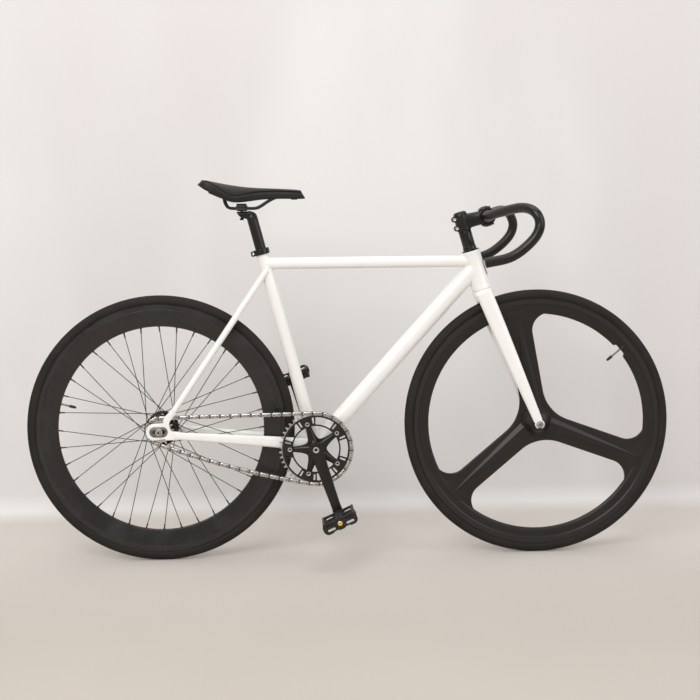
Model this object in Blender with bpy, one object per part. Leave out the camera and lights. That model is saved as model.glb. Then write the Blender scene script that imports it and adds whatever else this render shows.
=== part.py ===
# Single-speed track bicycle, modelled piece by piece as it would come apart on a bench.
# Metres, +X forward, +Y to the rider's left, +Z up. The drive side is -Y.
# The origin is on the ground, midway between the two axles as the frame is drawn.

from math import asin, atan2, cos, floor, pi, radians, sin, sqrt

import bmesh
import bpy
from mathutils import Matrix, Vector
from mathutils.geometry import tessellate_polygon

# Clearances
running_gap = 0.0003
seat_gap = 0.0003

# Frame geometry
wheel_radius = 0.334
wheelbase = 0.945
rear_tyre_clearance = 0.056
bottom_bracket_drop = 0.052
seat_angle = radians(75.5)
head_angle = radians(74.1)
fork_rake = 0.0391
crown_clearance = 0.0265
head_tube_length = 0.100

# Frame tubes
seat_tube_radius = 0.0155
seat_tube_length = 0.508
seat_tube_bore_depth = 0.290
down_tube_radius = 0.0215
down_tube_meets_head = 0.041
top_tube_half_height = 0.0157
top_tube_half_width = 0.0145
top_tube_below_head_top = 0.026
top_tube_below_seat_top = 0.032
head_tube_top_radius = 0.0235
head_tube_waist_radius = 0.0227
head_tube_waist_height = 0.0550
head_tube_skirt_radius = 0.0242
head_tube_skirt_height = 0.0220
head_tube_bottom_radius = 0.0248
head_tube_wall = 0.0030
shell_radius = 0.0205
shell_bore = 0.0170
shell_length = 0.068
chainstay_height_front = 0.0320
chainstay_height_rear = 0.0175
chainstay_width = 0.0150
chainstay_offset_front = 0.0235
chainstay_offset_mid = 0.0285
seatstay_radius = 0.0080
seatstay_rear_radius = 0.0066
seatstay_below_top_tube = 0.017
seatstay_offset_top = 0.0125

# Rear track ends
rear_hub_width = 0.120
track_end_thickness = 0.0065
track_end_half_height = 0.0215
track_end_window_length = 0.0450
track_end_window_height = 0.0260
track_end_forward_of_window = 0.0060
axle_slot_length = 0.0320
insert_thickness = 0.0050

# Head badge, a bare plate bent round the head tube
badge_width = 0.0240
badge_height = 0.0460
badge_thickness = 0.0010
badge_middle = 0.0550

# Fork
steerer_radius = 0.0143
crown_height = 0.0200
blade_offset_top = 0.0290
blade_depth_top = 0.0400
blade_width_top = 0.0200
blade_depth_tip = 0.0230
blade_width_tip = 0.0100
front_hub_width = 0.100
fork_end_thickness = 0.0065
fork_end_radius = 0.0120
front_axle_radius = 0.0045

# Headset, spacer, stem and bar
bearing_height = 0.0070
bearing_depth = 0.0010
cover_height = 0.0125
cover_base_radius = 0.0222
cover_top_radius = 0.0172
spacer_height = 0.0404
spacer_wall = 0.0014
stem_clamp_height = 0.0430
stem_clamp_radius = 0.0190
stem_reach = 0.0625
stem_rise = radians(13.0)
stem_body_half_width = 0.0150
stem_body_half_height = 0.0145
bar_clamp_radius = 0.0159
bar_ring_radius = 0.0212
bar_ring_length = 0.0460
bar_clamp_length = 0.0580
bar_radius = 0.0120
bar_half_width = 0.200
bar_reach = 0.0985
bar_drop = 0.1120
bar_taper_length = 0.0160
bar_wall = 0.0018
bar_plug_depth = 0.0140
bar_plug_flange = 0.0020
bolt_head_radius = 0.0040
bolt_head_height = 0.0040
top_cap_height = 0.0040

# Seatpost and saddle
seatpost_radius = 0.0136
seatpost_length = 0.300
seatpost_exposed = 0.0930
collar_height = 0.0145
collar_wall = 0.0040
collar_ear_reach = 0.0090
collar_slit = 0.0020
collar_bolt_radius = 0.0026
clamp_setback = 0.0225
clamp_above_post = 0.0160
clamp_length = 0.0300
clamp_half_width = 0.0270
rail_radius = 0.0035
rail_spread = 0.0220
rail_nose_spread = 0.0100
rail_flat_rear = 0.0220
rail_flat_front = 0.0330
rail_rear_reach = 0.0460
rail_rear_rise = 0.0400
rail_front_reach = 0.1160
rail_front_rise = 0.0275
clamp_bolt_radius = 0.0030
saddle_shell = 0.0120
saddle_length = 0.2660
saddle_half_width = 0.0700
saddle_height = 0.0695
saddle_behind_clamp = 0.1080

# Bottom bracket and cranks
crank_length = 0.170
crank_angle = radians(-71.5)
spindle_radius = 0.0085
cup_flange_radius = 0.0190
cup_flange_width = 0.0030
cup_flange_bevel = 0.0010
cup_depth = 0.0220
crank_boss_radius = 0.0190
crank_boss_inner = 0.0405
crank_arm_inner = 0.0535
crank_arm_thickness = 0.0125
crank_arm_splay = 0.0085
crank_arm_half_width_root = 0.0150
crank_arm_half_width_tip = 0.0125
spider_thickness = 0.0050
spider_tip_radius = 0.0070
crank_bolt_radius = 0.0075
crank_bolt_height = 0.0020

# Transmission
chain_pitch = 0.0127
ring_teeth = 44
cog_teeth = 16
chain_line = 0.0465
chain_slack = 0.0006
roller_radius = 0.0039
plate_half_height = 0.0044
waist_half_height = 0.0030
inner_plate_gap = 0.0035
inner_plate_thickness = 0.0012
outer_plate_thickness = 0.0011
tooth_thickness = 0.0026
tooth_height = 0.0034
tooth_seat_width = 0.0052
bolt_circle_radius = 0.0650
ring_inner_radius = 0.0575
ring_inner_band = 0.0030
ring_outer_band = 0.0065
ring_bolt_radius = 0.0050
ring_bolt_stem_radius = 0.0038
ring_bolt_head = 0.0016
lockring_radius = 0.0185
lockring_width = 0.0040

# Pedals
pedal_length = 0.0880
pedal_height = 0.0300
pedal_width = 0.0950
pedal_tilt = radians(24.0)
pedal_plate = 0.0035
pedal_teeth = 3
pedal_tooth_height = 0.0025
pedal_barrel_radius = 0.0105
pedal_spindle_radius = 0.0060
pedal_collar_radius = 0.0080
pedal_axle_radius = 0.0050
pedal_axle_short = 0.0160
pedal_from_crank = 0.0060
pedal_cap_radius = 0.0060

# Wheels
tyre_width = 0.0235
tyre_height = 0.0220
rim_well_depth = 0.0058
rim_well_half = 0.0060
rim_width = 0.0222
rear_rim_depth = 0.0560
rear_rim_inner_width = 0.0100
brake_track = 0.0130
rear_valve_after_spoke = 16
spoke_count = 36
spoke_crossings = 3
spoke_radius = 0.0009
flange_radius = 0.0400
flange_thickness = 0.0030
flange_offset_right = 0.0320
flange_offset_left = 0.0350
spoke_hole_radius = 0.0350
flange_holes = 6
flange_hole_circle = 0.0265
flange_hole_radius = 0.0052
spoke_elbow = 0.0022
spoke_rim_offset = 0.0022
hub_barrel_radius = 0.0165
thread_radius = 0.0135
hub_shell_end = 0.0530
rear_axle_radius = 0.0050
axle_nut_across_flats = 0.0150
axle_nut_height = 0.0080
rear_axle_beyond_nut = 0.0020
front_axle_beyond_nut = 0.0010
washer_radius = 0.0100
nut_chamfer = 0.0010
cone_radius = 0.0085
washer_thickness = 0.0020
cast_rim_depth = 0.0390
cast_spoke_half_width = 0.0310
cast_spoke_thickness = 0.0110
cast_ridge_thickness = 0.0230
cast_ridge_half_width = 0.0190
cast_ridge_root = 0.0200
cast_ridge_tip_half_width = 0.0030
cast_ridge_tip_rise = 0.0012
cast_ridge_into_rim = 0.0100
cast_hub_flat_half = 0.0200
cast_hub_end_radius = 0.0160
cast_window_overlap = 0.0040
cast_disc_inside_bed = 0.0030
cast_window_rim_fillet = 0.0430
cast_window_hub_fillet = 0.0980
cast_spoke_angle = radians(20.0)
cast_hub_radius = 0.0280
cast_hub_half_width = 0.0475
front_valve_angle = radians(40.0)
valve_radius = 0.0030
valve_length = 0.0380

# Facets
wheel_facets = 36
head_facets = 16
round_facets = 12
ring_facets = 20
hub_facets = 12
bar_facets = 8
wire_facets = 6
steerer_facets = 12
spindle_facets = 10
stay_facets = 8
small_facets = 8
tiny_facets = 6
cast_hub_facets = 15
shell_facets = 14
fork_end_facets = 10
cap_facets = 20
spoke_facets = 3
nut_facets = 6

# Places worked out from the sizes above
rim_outer_radius = wheel_radius - tyre_height
chainstay_length = wheel_radius + rear_tyre_clearance
fork_length = wheel_radius + crown_clearance
frame_rear_axle_x = -wheelbase / 2
front_axle = Vector((wheelbase / 2, 0, wheel_radius))
bottom_bracket = Vector((
    frame_rear_axle_x + sqrt(chainstay_length ** 2 - bottom_bracket_drop ** 2),
    0,
    wheel_radius - bottom_bracket_drop,
))
along_y = Vector((0, 1, 0))
seat_axis = Vector((-cos(seat_angle), 0, sin(seat_angle)))
head_axis = Vector((-cos(head_angle), 0, sin(head_angle)))
head_front = Vector((sin(head_angle), 0, cos(head_angle)))
head_foot = front_axle - fork_rake * head_front
crown_seat = head_foot + fork_length * head_axis
head_bottom = crown_seat + seat_gap * head_axis
head_top = head_bottom + head_tube_length * head_axis
seat_top = bottom_bracket + seat_tube_length * seat_axis
track_end_centre_y = rear_hub_width / 2 + running_gap + track_end_thickness / 2
fork_end_centre_y = front_hub_width / 2 + running_gap + fork_end_thickness / 2


def ring_pitch_radius(teeth):
    return chain_pitch / (2 * sin(pi / teeth))


def links_for(between):
    """The even number of links that comes nearest for two sprockets this far apart."""
    pitches = between / chain_pitch
    wrap = (ring_teeth + cog_teeth) / 2
    spread = ((ring_teeth - cog_teeth) / (2 * pi)) ** 2
    return 2 * round((2 * pitches + wrap + spread / pitches) / 2)


chain_links = links_for(chainstay_length)


def chain_pins(axle_x):
    """Pin centres of the closed chain in X and Z, and what its lower run has to spare.

    The pins sit one pitch apart in the gaps of the chainring, run straight to the cog,
    wrap it, and come back along the lower run.
    """
    ring = Vector((bottom_bracket.x, bottom_bracket.z))
    cog = Vector((axle_x, wheel_radius))
    ring_radius = ring_pitch_radius(ring_teeth)
    cog_radius = ring_pitch_radius(cog_teeth)
    between = ring - cog
    lean = asin((ring_radius - cog_radius) / between.length)
    heading = atan2(between.y, between.x)
    upper = heading + pi / 2 + lean
    lower = heading - pi / 2 - lean

    ring_step = 2 * pi / ring_teeth
    ring_wrap = floor((upper - lower) / ring_step)
    on_ring = [
        ring + ring_radius * Vector((cos(upper - k * ring_step), sin(upper - k * ring_step)))
        for k in range(ring_wrap + 1)
    ]
    first = on_ring[0]
    straight = floor(sqrt(between.length ** 2 - (ring_radius - cog_radius) ** 2) / chain_pitch)
    reach = straight * chain_pitch
    to_cog = cog - first
    corner = (reach ** 2 + to_cog.length ** 2 - cog_radius ** 2) / (2 * reach * to_cog.length)
    swing = atan2(to_cog.y, to_cog.x) - atan2(sqrt(1 - corner ** 2), corner)
    toward = Vector((cos(swing), sin(swing)))
    on_top = [first + k * chain_pitch * toward for k in range(straight, 0, -1)]
    landing = on_top[0] - cog
    land_angle = atan2(landing.y, landing.x)
    cog_step = 2 * pi / cog_teeth
    cog_wrap = floor((lower + 2 * pi - land_angle) / cog_step)
    on_cog = [
        cog + cog_radius * Vector((cos(land_angle + k * cog_step), sin(land_angle + k * cog_step)))
        for k in range(cog_wrap, 0, -1)
    ]
    lower_links = chain_links - ring_wrap - straight - cog_wrap
    start, end = on_ring[-1], on_cog[0]
    span = (end - start).length
    spare = lower_links * chain_pitch - span
    pins = on_cog + on_top + on_ring
    return pins, (start, end, lower_links), spare, land_angle


def sagging_pins(start, end, links):
    """The pins between two ends of the lower run, on the shallow arc that its length allows."""
    span = end - start
    ratio = min(span.length / chain_pitch, links - 1e-6)
    low, high = 1e-6, 0.2
    for _ in range(60):
        turn = (low + high) / 2
        if sin(links * turn / 2) / sin(turn / 2) > ratio:
            low = turn
        else:
            high = turn
    heading = atan2(span.y, span.x) + turn * (links - 1) / 2
    pins = []
    at = start
    for _ in range(links - 1):
        at = at + chain_pitch * Vector((cos(heading), sin(heading)))
        pins.append(at)
        heading -= turn
    return pins


def tensioned_axle():
    """Where the rear axle stands in its slots so that the lower run is just taut."""
    back, front = frame_rear_axle_x - chain_pitch, frame_rear_axle_x + chain_pitch
    for _ in range(50):
        middle = (back + front) / 2
        if chain_pins(middle)[2] < chain_slack:
            back = middle
        else:
            front = middle
    return (back + front) / 2


rear_axle = Vector((tensioned_axle(), 0, wheel_radius))


# Mesh making. Every function below returns a closed mesh in world places.

def closed_mesh(verts, faces):
    shape = bmesh.new()
    made = [shape.verts.new(v) for v in verts]
    for face in faces:
        shape.faces.new([made[i] for i in face])
    bmesh.ops.recalc_face_normals(shape, faces=shape.faces)
    mesh = bpy.data.meshes.new("shape")
    shape.to_mesh(mesh)
    shape.free()
    return mesh


def across(axis):
    """Two directions square to an axis and to each other."""
    side = along_y if abs(axis.y) < 0.9 else Vector((1, 0, 0))
    second = axis.cross(side).normalized()
    return second.cross(axis).normalized(), second


def turned(origin, axis, profile, facets=round_facets, turn=0.0):
    """A profile of (distance along the axis, radius) turned about it.

    A profile that starts and ends at radius 0 is a solid. Any other closes on itself as a ring.
    """
    first, second = across(axis)
    solid = profile[0][1] == 0
    verts, rows = [], []
    for along, radius in profile:
        if radius == 0:
            rows.append([len(verts)] * facets)
            verts.append(origin + along * axis)
            continue
        row = []
        for k in range(facets):
            angle = turn + 2 * pi * k / facets
            row.append(len(verts))
            verts.append(origin + along * axis + radius * (cos(angle) * first + sin(angle) * second))
        rows.append(row)
    faces = []
    pairs = list(zip(rows, rows[1:])) + ([] if solid else [(rows[-1], rows[0])])
    for low, high in pairs:
        for k in range(facets):
            corners = [low[k], low[(k + 1) % facets], high[(k + 1) % facets], high[k]]
            face = list(dict.fromkeys(corners))
            faces.append(face)
    return closed_mesh(verts, faces)


def rod(start, end, radius, end_radius=None, facets=round_facets, turn=0.0):
    axis = (end - start).normalized()
    length = (end - start).length
    tip = radius if end_radius is None else end_radius
    return turned(start, axis, [(0, 0), (0, radius), (length, tip), (length, 0)], facets, turn)


def tube_ring(origin, axis, outer, inner, low, high, facets=round_facets, turn=0.0):
    return turned(origin, axis, [(low, outer), (high, outer), (high, inner), (low, inner)], facets, turn)


def clear_radius(radius, gap, facets=round_facets):
    """The radius of a faceted bore whose flats still clear what runs in it."""
    return (radius + gap) / cos(pi / facets)


def oval(centre, wide, tall, squareness=2.0, facets=round_facets):
    """A ring of points on a superellipse, with wide and tall as its two half axes."""
    points = []
    for k in range(facets):
        angle = 2 * pi * (k + 0.5) / facets
        c, s = cos(angle), sin(angle)
        c = (1 if c > 0 else -1) * abs(c) ** (2 / squareness)
        s = (1 if s > 0 else -1) * abs(s) ** (2 / squareness)
        points.append(centre + c * wide + s * tall)
    return points


def loft(rings):
    """A skin over rings of as many points each, closed at both ends."""
    count = len(rings[0])
    verts = [point for ring in rings for point in ring]
    faces = [list(range(count)), [len(verts) - 1 - k for k in range(count)]]
    for r in range(len(rings) - 1):
        base = r * count
        for k in range(count):
            follow = (k + 1) % count
            faces.append([base + k, base + follow, base + count + follow, base + count + k])
    return closed_mesh(verts, faces)


def plate(outer, holes, y_low, y_high):
    """A flat plate in the XZ plane with holes, between two values of Y."""
    loops = [outer] + list(holes)
    flat = [[Vector((x, z, 0)) for x, z in loop] for loop in loops]
    points = [p for loop in loops for p in loop]
    count = len(points)
    verts = [Vector((x, y_low, z)) for x, z in points] + [Vector((x, y_high, z)) for x, z in points]
    faces = []
    for a, b, c in tessellate_polygon(flat):
        faces.append([a, b, c])
        faces.append([a + count, c + count, b + count])
    base = 0
    for loop in loops:
        size = len(loop)
        for k in range(size):
            one, two = base + k, base + (k + 1) % size
            faces.append([one, two, two + count, one + count])
        base += size
    return closed_mesh(verts, faces)


def block(centre, forward, upward, length, width, height):
    """A box whose length lies along forward and height along upward."""
    side = upward.cross(forward).normalized()
    half = [forward * length / 2, side * width / 2, upward * height / 2]
    corners = [(-1, -1), (1, -1), (1, 1), (-1, 1)]
    rings = [[centre + a * half[0] + b * half[1] + c * half[2] for a, b in corners] for c in (-1, 1)]
    return loft(rings)


def combined(base, added=(), cut=(), kept=()):
    """The union of meshes, less the cutters, kept only inside the last ones."""
    steps = [(added, "UNION"), (cut, "DIFFERENCE"), (kept, "INTERSECT")]
    body = bpy.data.objects.new("base", base)
    bpy.context.scene.collection.objects.link(body)
    helpers = []
    for meshes, operation in steps:
        if not meshes:
            continue
        helper = bpy.data.objects.new("tool", joined(meshes))
        bpy.context.scene.collection.objects.link(helper)
        helpers.append(helper)
        change = body.modifiers.new("change", "BOOLEAN")
        change.operation = operation
        change.use_self = len(meshes) > 1
        change.object = helper
    graph = bpy.context.evaluated_depsgraph_get()
    graph.update()
    result = bpy.data.meshes.new_from_object(body.evaluated_get(graph))
    for used in helpers + [body]:
        bpy.data.objects.remove(used)
    return result


def joined(meshes):
    """Several closed meshes in one, for use as one cutter or one addition."""
    shape = bmesh.new()
    for mesh in meshes:
        shape.from_mesh(mesh)
    mesh = bpy.data.meshes.new("shape")
    shape.to_mesh(mesh)
    shape.free()
    return mesh


def mirrored(mesh):
    """A copy on the other side of the bicycle."""
    shape = bmesh.new()
    shape.from_mesh(mesh)
    bmesh.ops.transform(shape, matrix=Matrix.Scale(-1, 4, along_y), verts=shape.verts)
    bmesh.ops.recalc_face_normals(shape, faces=shape.faces)
    copy = bpy.data.meshes.new("shape")
    shape.to_mesh(copy)
    shape.free()
    return copy


def arc(centre, radius, start, end, steps):
    """Points on an arc in the XZ plane, from one angle to another."""
    points = []
    for k in range(steps + 1):
        angle = start + (end - start) * k / steps
        points.append((centre[0] + radius * cos(angle), centre[1] + radius * sin(angle)))
    return points


def circle(centre, radius, count):
    """A full circle of points in the XZ plane."""
    return arc(centre, radius, 0, 2 * pi, count)[:-1]


def smooth_path(points, steps):
    """A curve through the given points (Catmull-Rom), with equal steps between them."""
    ends = [2 * points[0] - points[1]] + points + [2 * points[-1] - points[-2]]
    path = []
    for k in range(1, len(ends) - 2):
        a, b, c, d = ends[k - 1 : k + 3]
        for j in range(steps):
            t = j / steps
            path.append(
                0.5 * (2 * b + (c - a) * t + (2 * a - 5 * b + 4 * c - d) * t ** 2
                       + (3 * b - a - 3 * c + d) * t ** 3)
            )
    return path + [points[-1]]


def swept(path, radii, facets=bar_facets):
    """A round tube along a path, carrying its cross-section without twist."""
    rings = []
    side = None
    for k, point in enumerate(path):
        before, after = path[max(k - 1, 0)], path[min(k + 1, len(path) - 1)]
        tangent = (after - before).normalized()
        if side is None:
            side = across(tangent)[0]
        side = (side - side.dot(tangent) * tangent).normalized()
        other = tangent.cross(side)
        rings.append([
            point + radii[k] * (cos(2 * pi * j / facets) * side + sin(2 * pi * j / facets) * other)
            for j in range(facets)
        ])
    return loft(rings)


# Materials

def finish(name, colour, roughness, metallic=0.0):
    material = bpy.data.materials.new(name)
    material.use_nodes = True
    shader = material.node_tree.nodes["Principled BSDF"]
    shader.inputs["Base Color"].default_value = (*colour, 1)
    shader.inputs["Roughness"].default_value = roughness
    shader.inputs["Metallic"].default_value = metallic
    return material


finishes = {
    "white_paint": ((0.80, 0.79, 0.75), 0.25, 0.0),
    "black_alloy": ((0.022, 0.020, 0.018), 0.38, 0.0),
    "cast_black": ((0.030, 0.026, 0.023), 0.55, 0.0),
    "steel": ((0.52, 0.50, 0.47), 0.30, 1.0),
    "chain_steel": ((0.40, 0.38, 0.35), 0.35, 1.0),
    "spoke_black": ((0.020, 0.020, 0.020), 0.35, 0.6),
    "tyre_rubber": ((0.028, 0.025, 0.023), 0.75, 0.0),
    "saddle_cover": ((0.022, 0.020, 0.019), 0.60, 0.0),
    "black_plastic": ((0.018, 0.018, 0.018), 0.50, 0.0),
    "brass": ((0.75, 0.55, 0.16), 0.30, 1.0),
    "badge_metal": ((0.30, 0.29, 0.28), 0.35, 1.0),
}


# Bodies: an empty at each joint carries the pieces that move together

def carrier(name, place, parent=None):
    empty = bpy.data.objects.new(name, None)
    bpy.context.scene.collection.objects.link(empty)
    empty.parent = parent
    empty.location = place - (parent.matrix_world.translation if parent else Vector())
    bpy.context.view_layer.update()
    return empty


def piece(name, mesh, material, body):
    """One named piece, with its origin where its body turns."""
    mesh = mesh.copy()
    mesh.transform(Matrix.Translation(-body.matrix_world.translation))
    mesh.materials.clear()
    mesh.materials.append(materials[material])
    mesh.shade_smooth()
    mesh.set_sharp_from_angle(angle=radians(35))
    mesh.name = name
    made = bpy.data.objects.new(name, mesh)
    bpy.context.scene.collection.objects.link(made)
    made.parent = body
    return made


# Frame

top_tube_squareness = 2.3
chainstay_squareness = 3.0
stay_edge_inset = 0.0030
stay_tongue = 0.0260
seatstay_tongue_rise = 0.0520


def stay(points, sizes, squareness):
    """A stay through its points, each with half its width across and half its height."""
    rings = []
    for k, (point, (half_width, half_height)) in enumerate(zip(points, sizes)):
        ahead = points[min(k + 1, len(points) - 1)] - points[max(k - 1, 0)]
        upward = along_y.cross(ahead).normalized()
        rings.append(oval(point, along_y * half_width, upward * half_height, squareness, stay_facets))
    return loft(rings)


def track_end_outline():
    """The side outline of a rear track end, round behind and running into both stays."""
    centre = (frame_rear_axle_x, wheel_radius)
    reach = track_end_window_length / 2 - track_end_window_height / 2
    rear = arc((centre[0] - reach, centre[1]), track_end_half_height, radians(110), radians(255), 8)
    front_x = centre[0] + track_end_window_length / 2 + track_end_forward_of_window
    stay_low = centre[1] - track_end_half_height + stay_edge_inset
    stay_high = stay_low + chainstay_height_rear
    return rear + [
        (front_x - 0.012, centre[1] - track_end_half_height + 0.0005),
        (front_x + stay_tongue, stay_low),
        (front_x + stay_tongue, stay_high),
        (front_x + 0.002, stay_high + 0.003),
        (front_x - 0.002, centre[1] + 0.012),
        (front_x - 0.002, centre[1] + 0.024),
        (front_x + 0.016, centre[1] + 0.046),
        (front_x + 0.001, centre[1] + seatstay_tongue_rise),
        (front_x - 0.018, centre[1] + 0.032),
    ]


def slot_outline(centre, length, height, steps=4):
    """A slot with round ends."""
    reach = (length - height) / 2
    right = arc((centre[0] + reach, centre[1]), height / 2, -pi / 2, pi / 2, steps)
    left = arc((centre[0] - reach, centre[1]), height / 2, pi / 2, 3 * pi / 2, steps)
    return right + left


def head_tube_side():
    """The head tube's outer side as (height, radius), from its foot up."""
    return [
        (0, head_tube_bottom_radius),
        (head_tube_skirt_height, head_tube_skirt_radius),
        (head_tube_waist_height, head_tube_waist_radius),
        (head_tube_length, head_tube_top_radius),
    ]


def on_head_tube(height, angle, gap):
    """A point just off the faceted head tube, at an angle round from its front."""
    side = head_tube_side()
    for (low, low_radius), (high, high_radius) in zip(side, side[1:]):
        if low <= height <= high:
            radius = low_radius + (high_radius - low_radius) * (height - low) / (high - low)
    facet = 2 * pi / head_facets
    from_flat = (angle + facet / 2) % facet - facet / 2
    reach = radius * cos(facet / 2) / cos(from_flat) + gap
    return head_bottom + height * head_axis + reach * (cos(angle) * head_front + sin(angle) * along_y)


def make_frame(body):
    profile = [(0, 0)] + head_tube_side() + [(head_tube_length, 0)]
    head_tube = turned(head_bottom, head_axis, profile, head_facets, pi / head_facets)
    seat_tube = rod(bottom_bracket, seat_top, seat_tube_radius, turn=pi / round_facets)
    down_top = head_top - down_tube_meets_head * head_axis
    down_tube = rod(bottom_bracket, down_top, down_tube_radius, turn=pi / round_facets)
    top_front = head_top - top_tube_below_head_top * head_axis
    top_rear = seat_top - top_tube_below_seat_top * seat_axis
    run = (top_front - top_rear).normalized()
    lift = along_y.cross(run) * -1
    top_tube = loft([
        oval(end, along_y * top_tube_half_width, lift * top_tube_half_height, top_tube_squareness)
        for end in (top_rear, top_front)
    ])
    shell = rod(
        bottom_bracket - along_y * shell_length / 2,
        bottom_bracket + along_y * shell_length / 2,
        shell_radius, facets=shell_facets,
    )

    centre_x = frame_rear_axle_x
    window = slot_outline((centre_x, wheel_radius), track_end_window_length, track_end_window_height)
    end_low = track_end_centre_y - track_end_thickness / 2
    track_end = plate(track_end_outline(), [window], end_low, end_low + track_end_thickness)
    chainstay_end = Vector((
        centre_x + track_end_window_length / 2 + track_end_forward_of_window + 0.010,
        track_end_centre_y,
        wheel_radius - track_end_half_height + stay_edge_inset + chainstay_height_rear / 2,
    ))
    run_in = bottom_bracket.x - chainstay_end.x

    def stay_point(share, offset):
        height = chainstay_end.z + (bottom_bracket.z + 0.006 - chainstay_end.z) * share
        return Vector((chainstay_end.x + run_in * share, offset, height))

    points = [
        chainstay_end,
        stay_point(0.35, track_end_centre_y - (track_end_centre_y - chainstay_offset_mid) * 0.52),
        stay_point(0.68, chainstay_offset_mid),
        stay_point(0.84, chainstay_offset_mid - 0.0015),
        stay_point(1.00, chainstay_offset_front),
    ]
    growth = chainstay_height_front - chainstay_height_rear
    shares = (0, 0.35, 0.68, 0.84, 1.0)
    heights = [chainstay_height_rear + growth * share for share in shares]
    sizes = [(chainstay_width / 2 * w, h / 2) for w, h in zip((0.80, 0.95, 1, 0.95, 0.9), heights)]
    chainstay = stay(points, sizes, chainstay_squareness)

    stay_top = top_rear - seatstay_below_top_tube * seat_axis + along_y * seatstay_offset_top
    outline_top = track_end_outline()[-3:-1]
    foot_x = (outline_top[0][0] + outline_top[1][0]) / 2
    foot_z = (outline_top[0][1] + outline_top[1][1]) / 2
    stay_foot = Vector((foot_x, track_end_centre_y, foot_z))
    upwards = (stay_top - stay_foot).normalized()
    seatstay = loft([
        oval(stay_foot - 0.012 * upwards, along_y * track_end_thickness * 0.62,
             upwards.cross(along_y) * seatstay_rear_radius, 2.2, stay_facets),
        oval(stay_foot + 0.020 * upwards, along_y * seatstay_rear_radius,
             upwards.cross(along_y) * seatstay_rear_radius * 1.1, 2.0, stay_facets),
        oval(stay_top - 0.120 * upwards, along_y * seatstay_radius,
             upwards.cross(along_y) * seatstay_radius, 2.0, stay_facets),
        oval(stay_top, along_y * seatstay_radius,
             upwards.cross(along_y) * seatstay_radius, 2.0, stay_facets),
    ])
    left_side = [chainstay, seatstay, track_end]
    pieces = [seat_tube, down_tube, top_tube, shell]
    pieces += left_side + [mirrored(m) for m in left_side]
    bores = [
        rod(head_bottom - 0.010 * head_axis, head_top + 0.010 * head_axis,
            head_tube_top_radius - head_tube_wall, facets=steerer_facets),
        rod(seat_top + 0.010 * seat_axis, seat_top - seat_tube_bore_depth * seat_axis,
            seatpost_radius + running_gap, turn=pi / round_facets),
        rod(bottom_bracket - along_y * shell_length, bottom_bracket + along_y * shell_length,
            clear_radius(shell_bore, 0, shell_facets), facets=shell_facets),
    ]
    frame = combined(head_tube, pieces, bores)
    piece("frame", frame, "white_paint", body)


def make_badge(body):
    """A bare plate, bent to the head tube's front."""
    half = badge_width / 2 / head_tube_waist_radius
    corner = pi / head_facets
    angles = [-half, -corner, corner, half]
    rings = []
    for height in (badge_middle - badge_height / 2, head_tube_waist_height, badge_middle + badge_height / 2):
        inner = [on_head_tube(height, angle, seat_gap) for angle in angles]
        outer = [on_head_tube(height, angle, seat_gap + badge_thickness) for angle in angles]
        rings.append(inner + outer[::-1])
    piece("head_badge_plate", loft(rings), "badge_metal", body)


def make_track_end_fittings(body):
    """The slotted steel inserts in the track ends, the axle with its cones, and its nuts."""
    inner_y = track_end_centre_y - insert_thickness / 2
    insert_outline = slot_outline(
        (frame_rear_axle_x, wheel_radius),
        track_end_window_length - 2 * seat_gap, track_end_window_height - 2 * seat_gap,
    )
    axle_slot = slot_outline(
        (frame_rear_axle_x, wheel_radius),
        axle_slot_length, 2 * (rear_axle_radius + running_gap),
    )
    insert = plate(insert_outline, [axle_slot], inner_y, inner_y + insert_thickness)
    piece("track_end_insert_left", insert, "badge_metal", body)
    piece("track_end_insert_right", mirrored(insert), "badge_metal", body)

    end_y = track_end_centre_y + track_end_thickness / 2
    nut_y = end_y + seat_gap
    axle_end = nut_y + washer_thickness + axle_nut_height + rear_axle_beyond_nut
    cone_in = hub_shell_end + running_gap
    cone_out = rear_hub_width / 2
    half = [
        (axle_end, 0), (axle_end, rear_axle_radius), (cone_out, rear_axle_radius),
        (cone_out, cone_radius), (cone_in, cone_radius), (cone_in, rear_axle_radius),
    ]
    profile = [(-y, r) for y, r in half] + half[::-1]
    piece("rear_axle", turned(rear_axle, along_y, profile, small_facets), "steel", body)
    nut = axle_nut(rear_axle, nut_y, rear_axle_radius)
    piece("rear_axle_nut_left", nut, "steel", body)
    piece("rear_axle_nut_right", mirrored(nut), "steel", body)


def axle_nut(centre, inner_y, axle_radius):
    """A flanged hex nut on a left-hand axle end, bored to clear the axle."""
    flats = axle_nut_across_flats / 2 / cos(pi / 6)
    washer = turned(centre, along_y, [
        (inner_y, 0), (inner_y, washer_radius), (inner_y + washer_thickness, washer_radius * 0.92),
        (inner_y + washer_thickness, 0),
    ], small_facets)
    outer_y = inner_y + washer_thickness + axle_nut_height
    nut = turned(centre, along_y, [
        (inner_y + nut_chamfer / 2, 0), (inner_y + nut_chamfer / 2, flats), (outer_y - nut_chamfer, flats),
        (outer_y, flats - nut_chamfer), (outer_y, 0),
    ], nut_facets)
    bore = rod(centre, centre + along_y * (outer_y + 0.01), axle_radius + running_gap, facets=small_facets)
    return combined(nut, [washer], [bore])


# Seatpost, clamp and saddle

# The post's offset head from its side, as (forward, up) from the top of the post's centre line.
post_head_side = [
    (-0.0370, 0.0075), (-0.0280, -0.0060), (-0.0065, -0.0120), (0.0090, -0.0140),
    (0.0138, 0.0030), (0.0120, 0.0052), (-0.0030, 0.0100), (-0.0080, 0.0085),
]
post_head_half_width = 0.0125
clamp_bolt_behind = 0.0010
clamp_bolt_below_top = 0.0150
clamp_bolt_above = 0.0130
clamp_bolt_head_radius = 0.0048
clamp_nut_radius = 0.0050
clamp_bolt_head = 0.0030
lower_jaw_depth = 0.0067
upper_jaw_height = 0.0080
collar_bolt_head_radius = 0.0038
collar_ear_width = 0.0150


def post_top():
    return seat_top + seatpost_exposed * seat_axis


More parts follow.
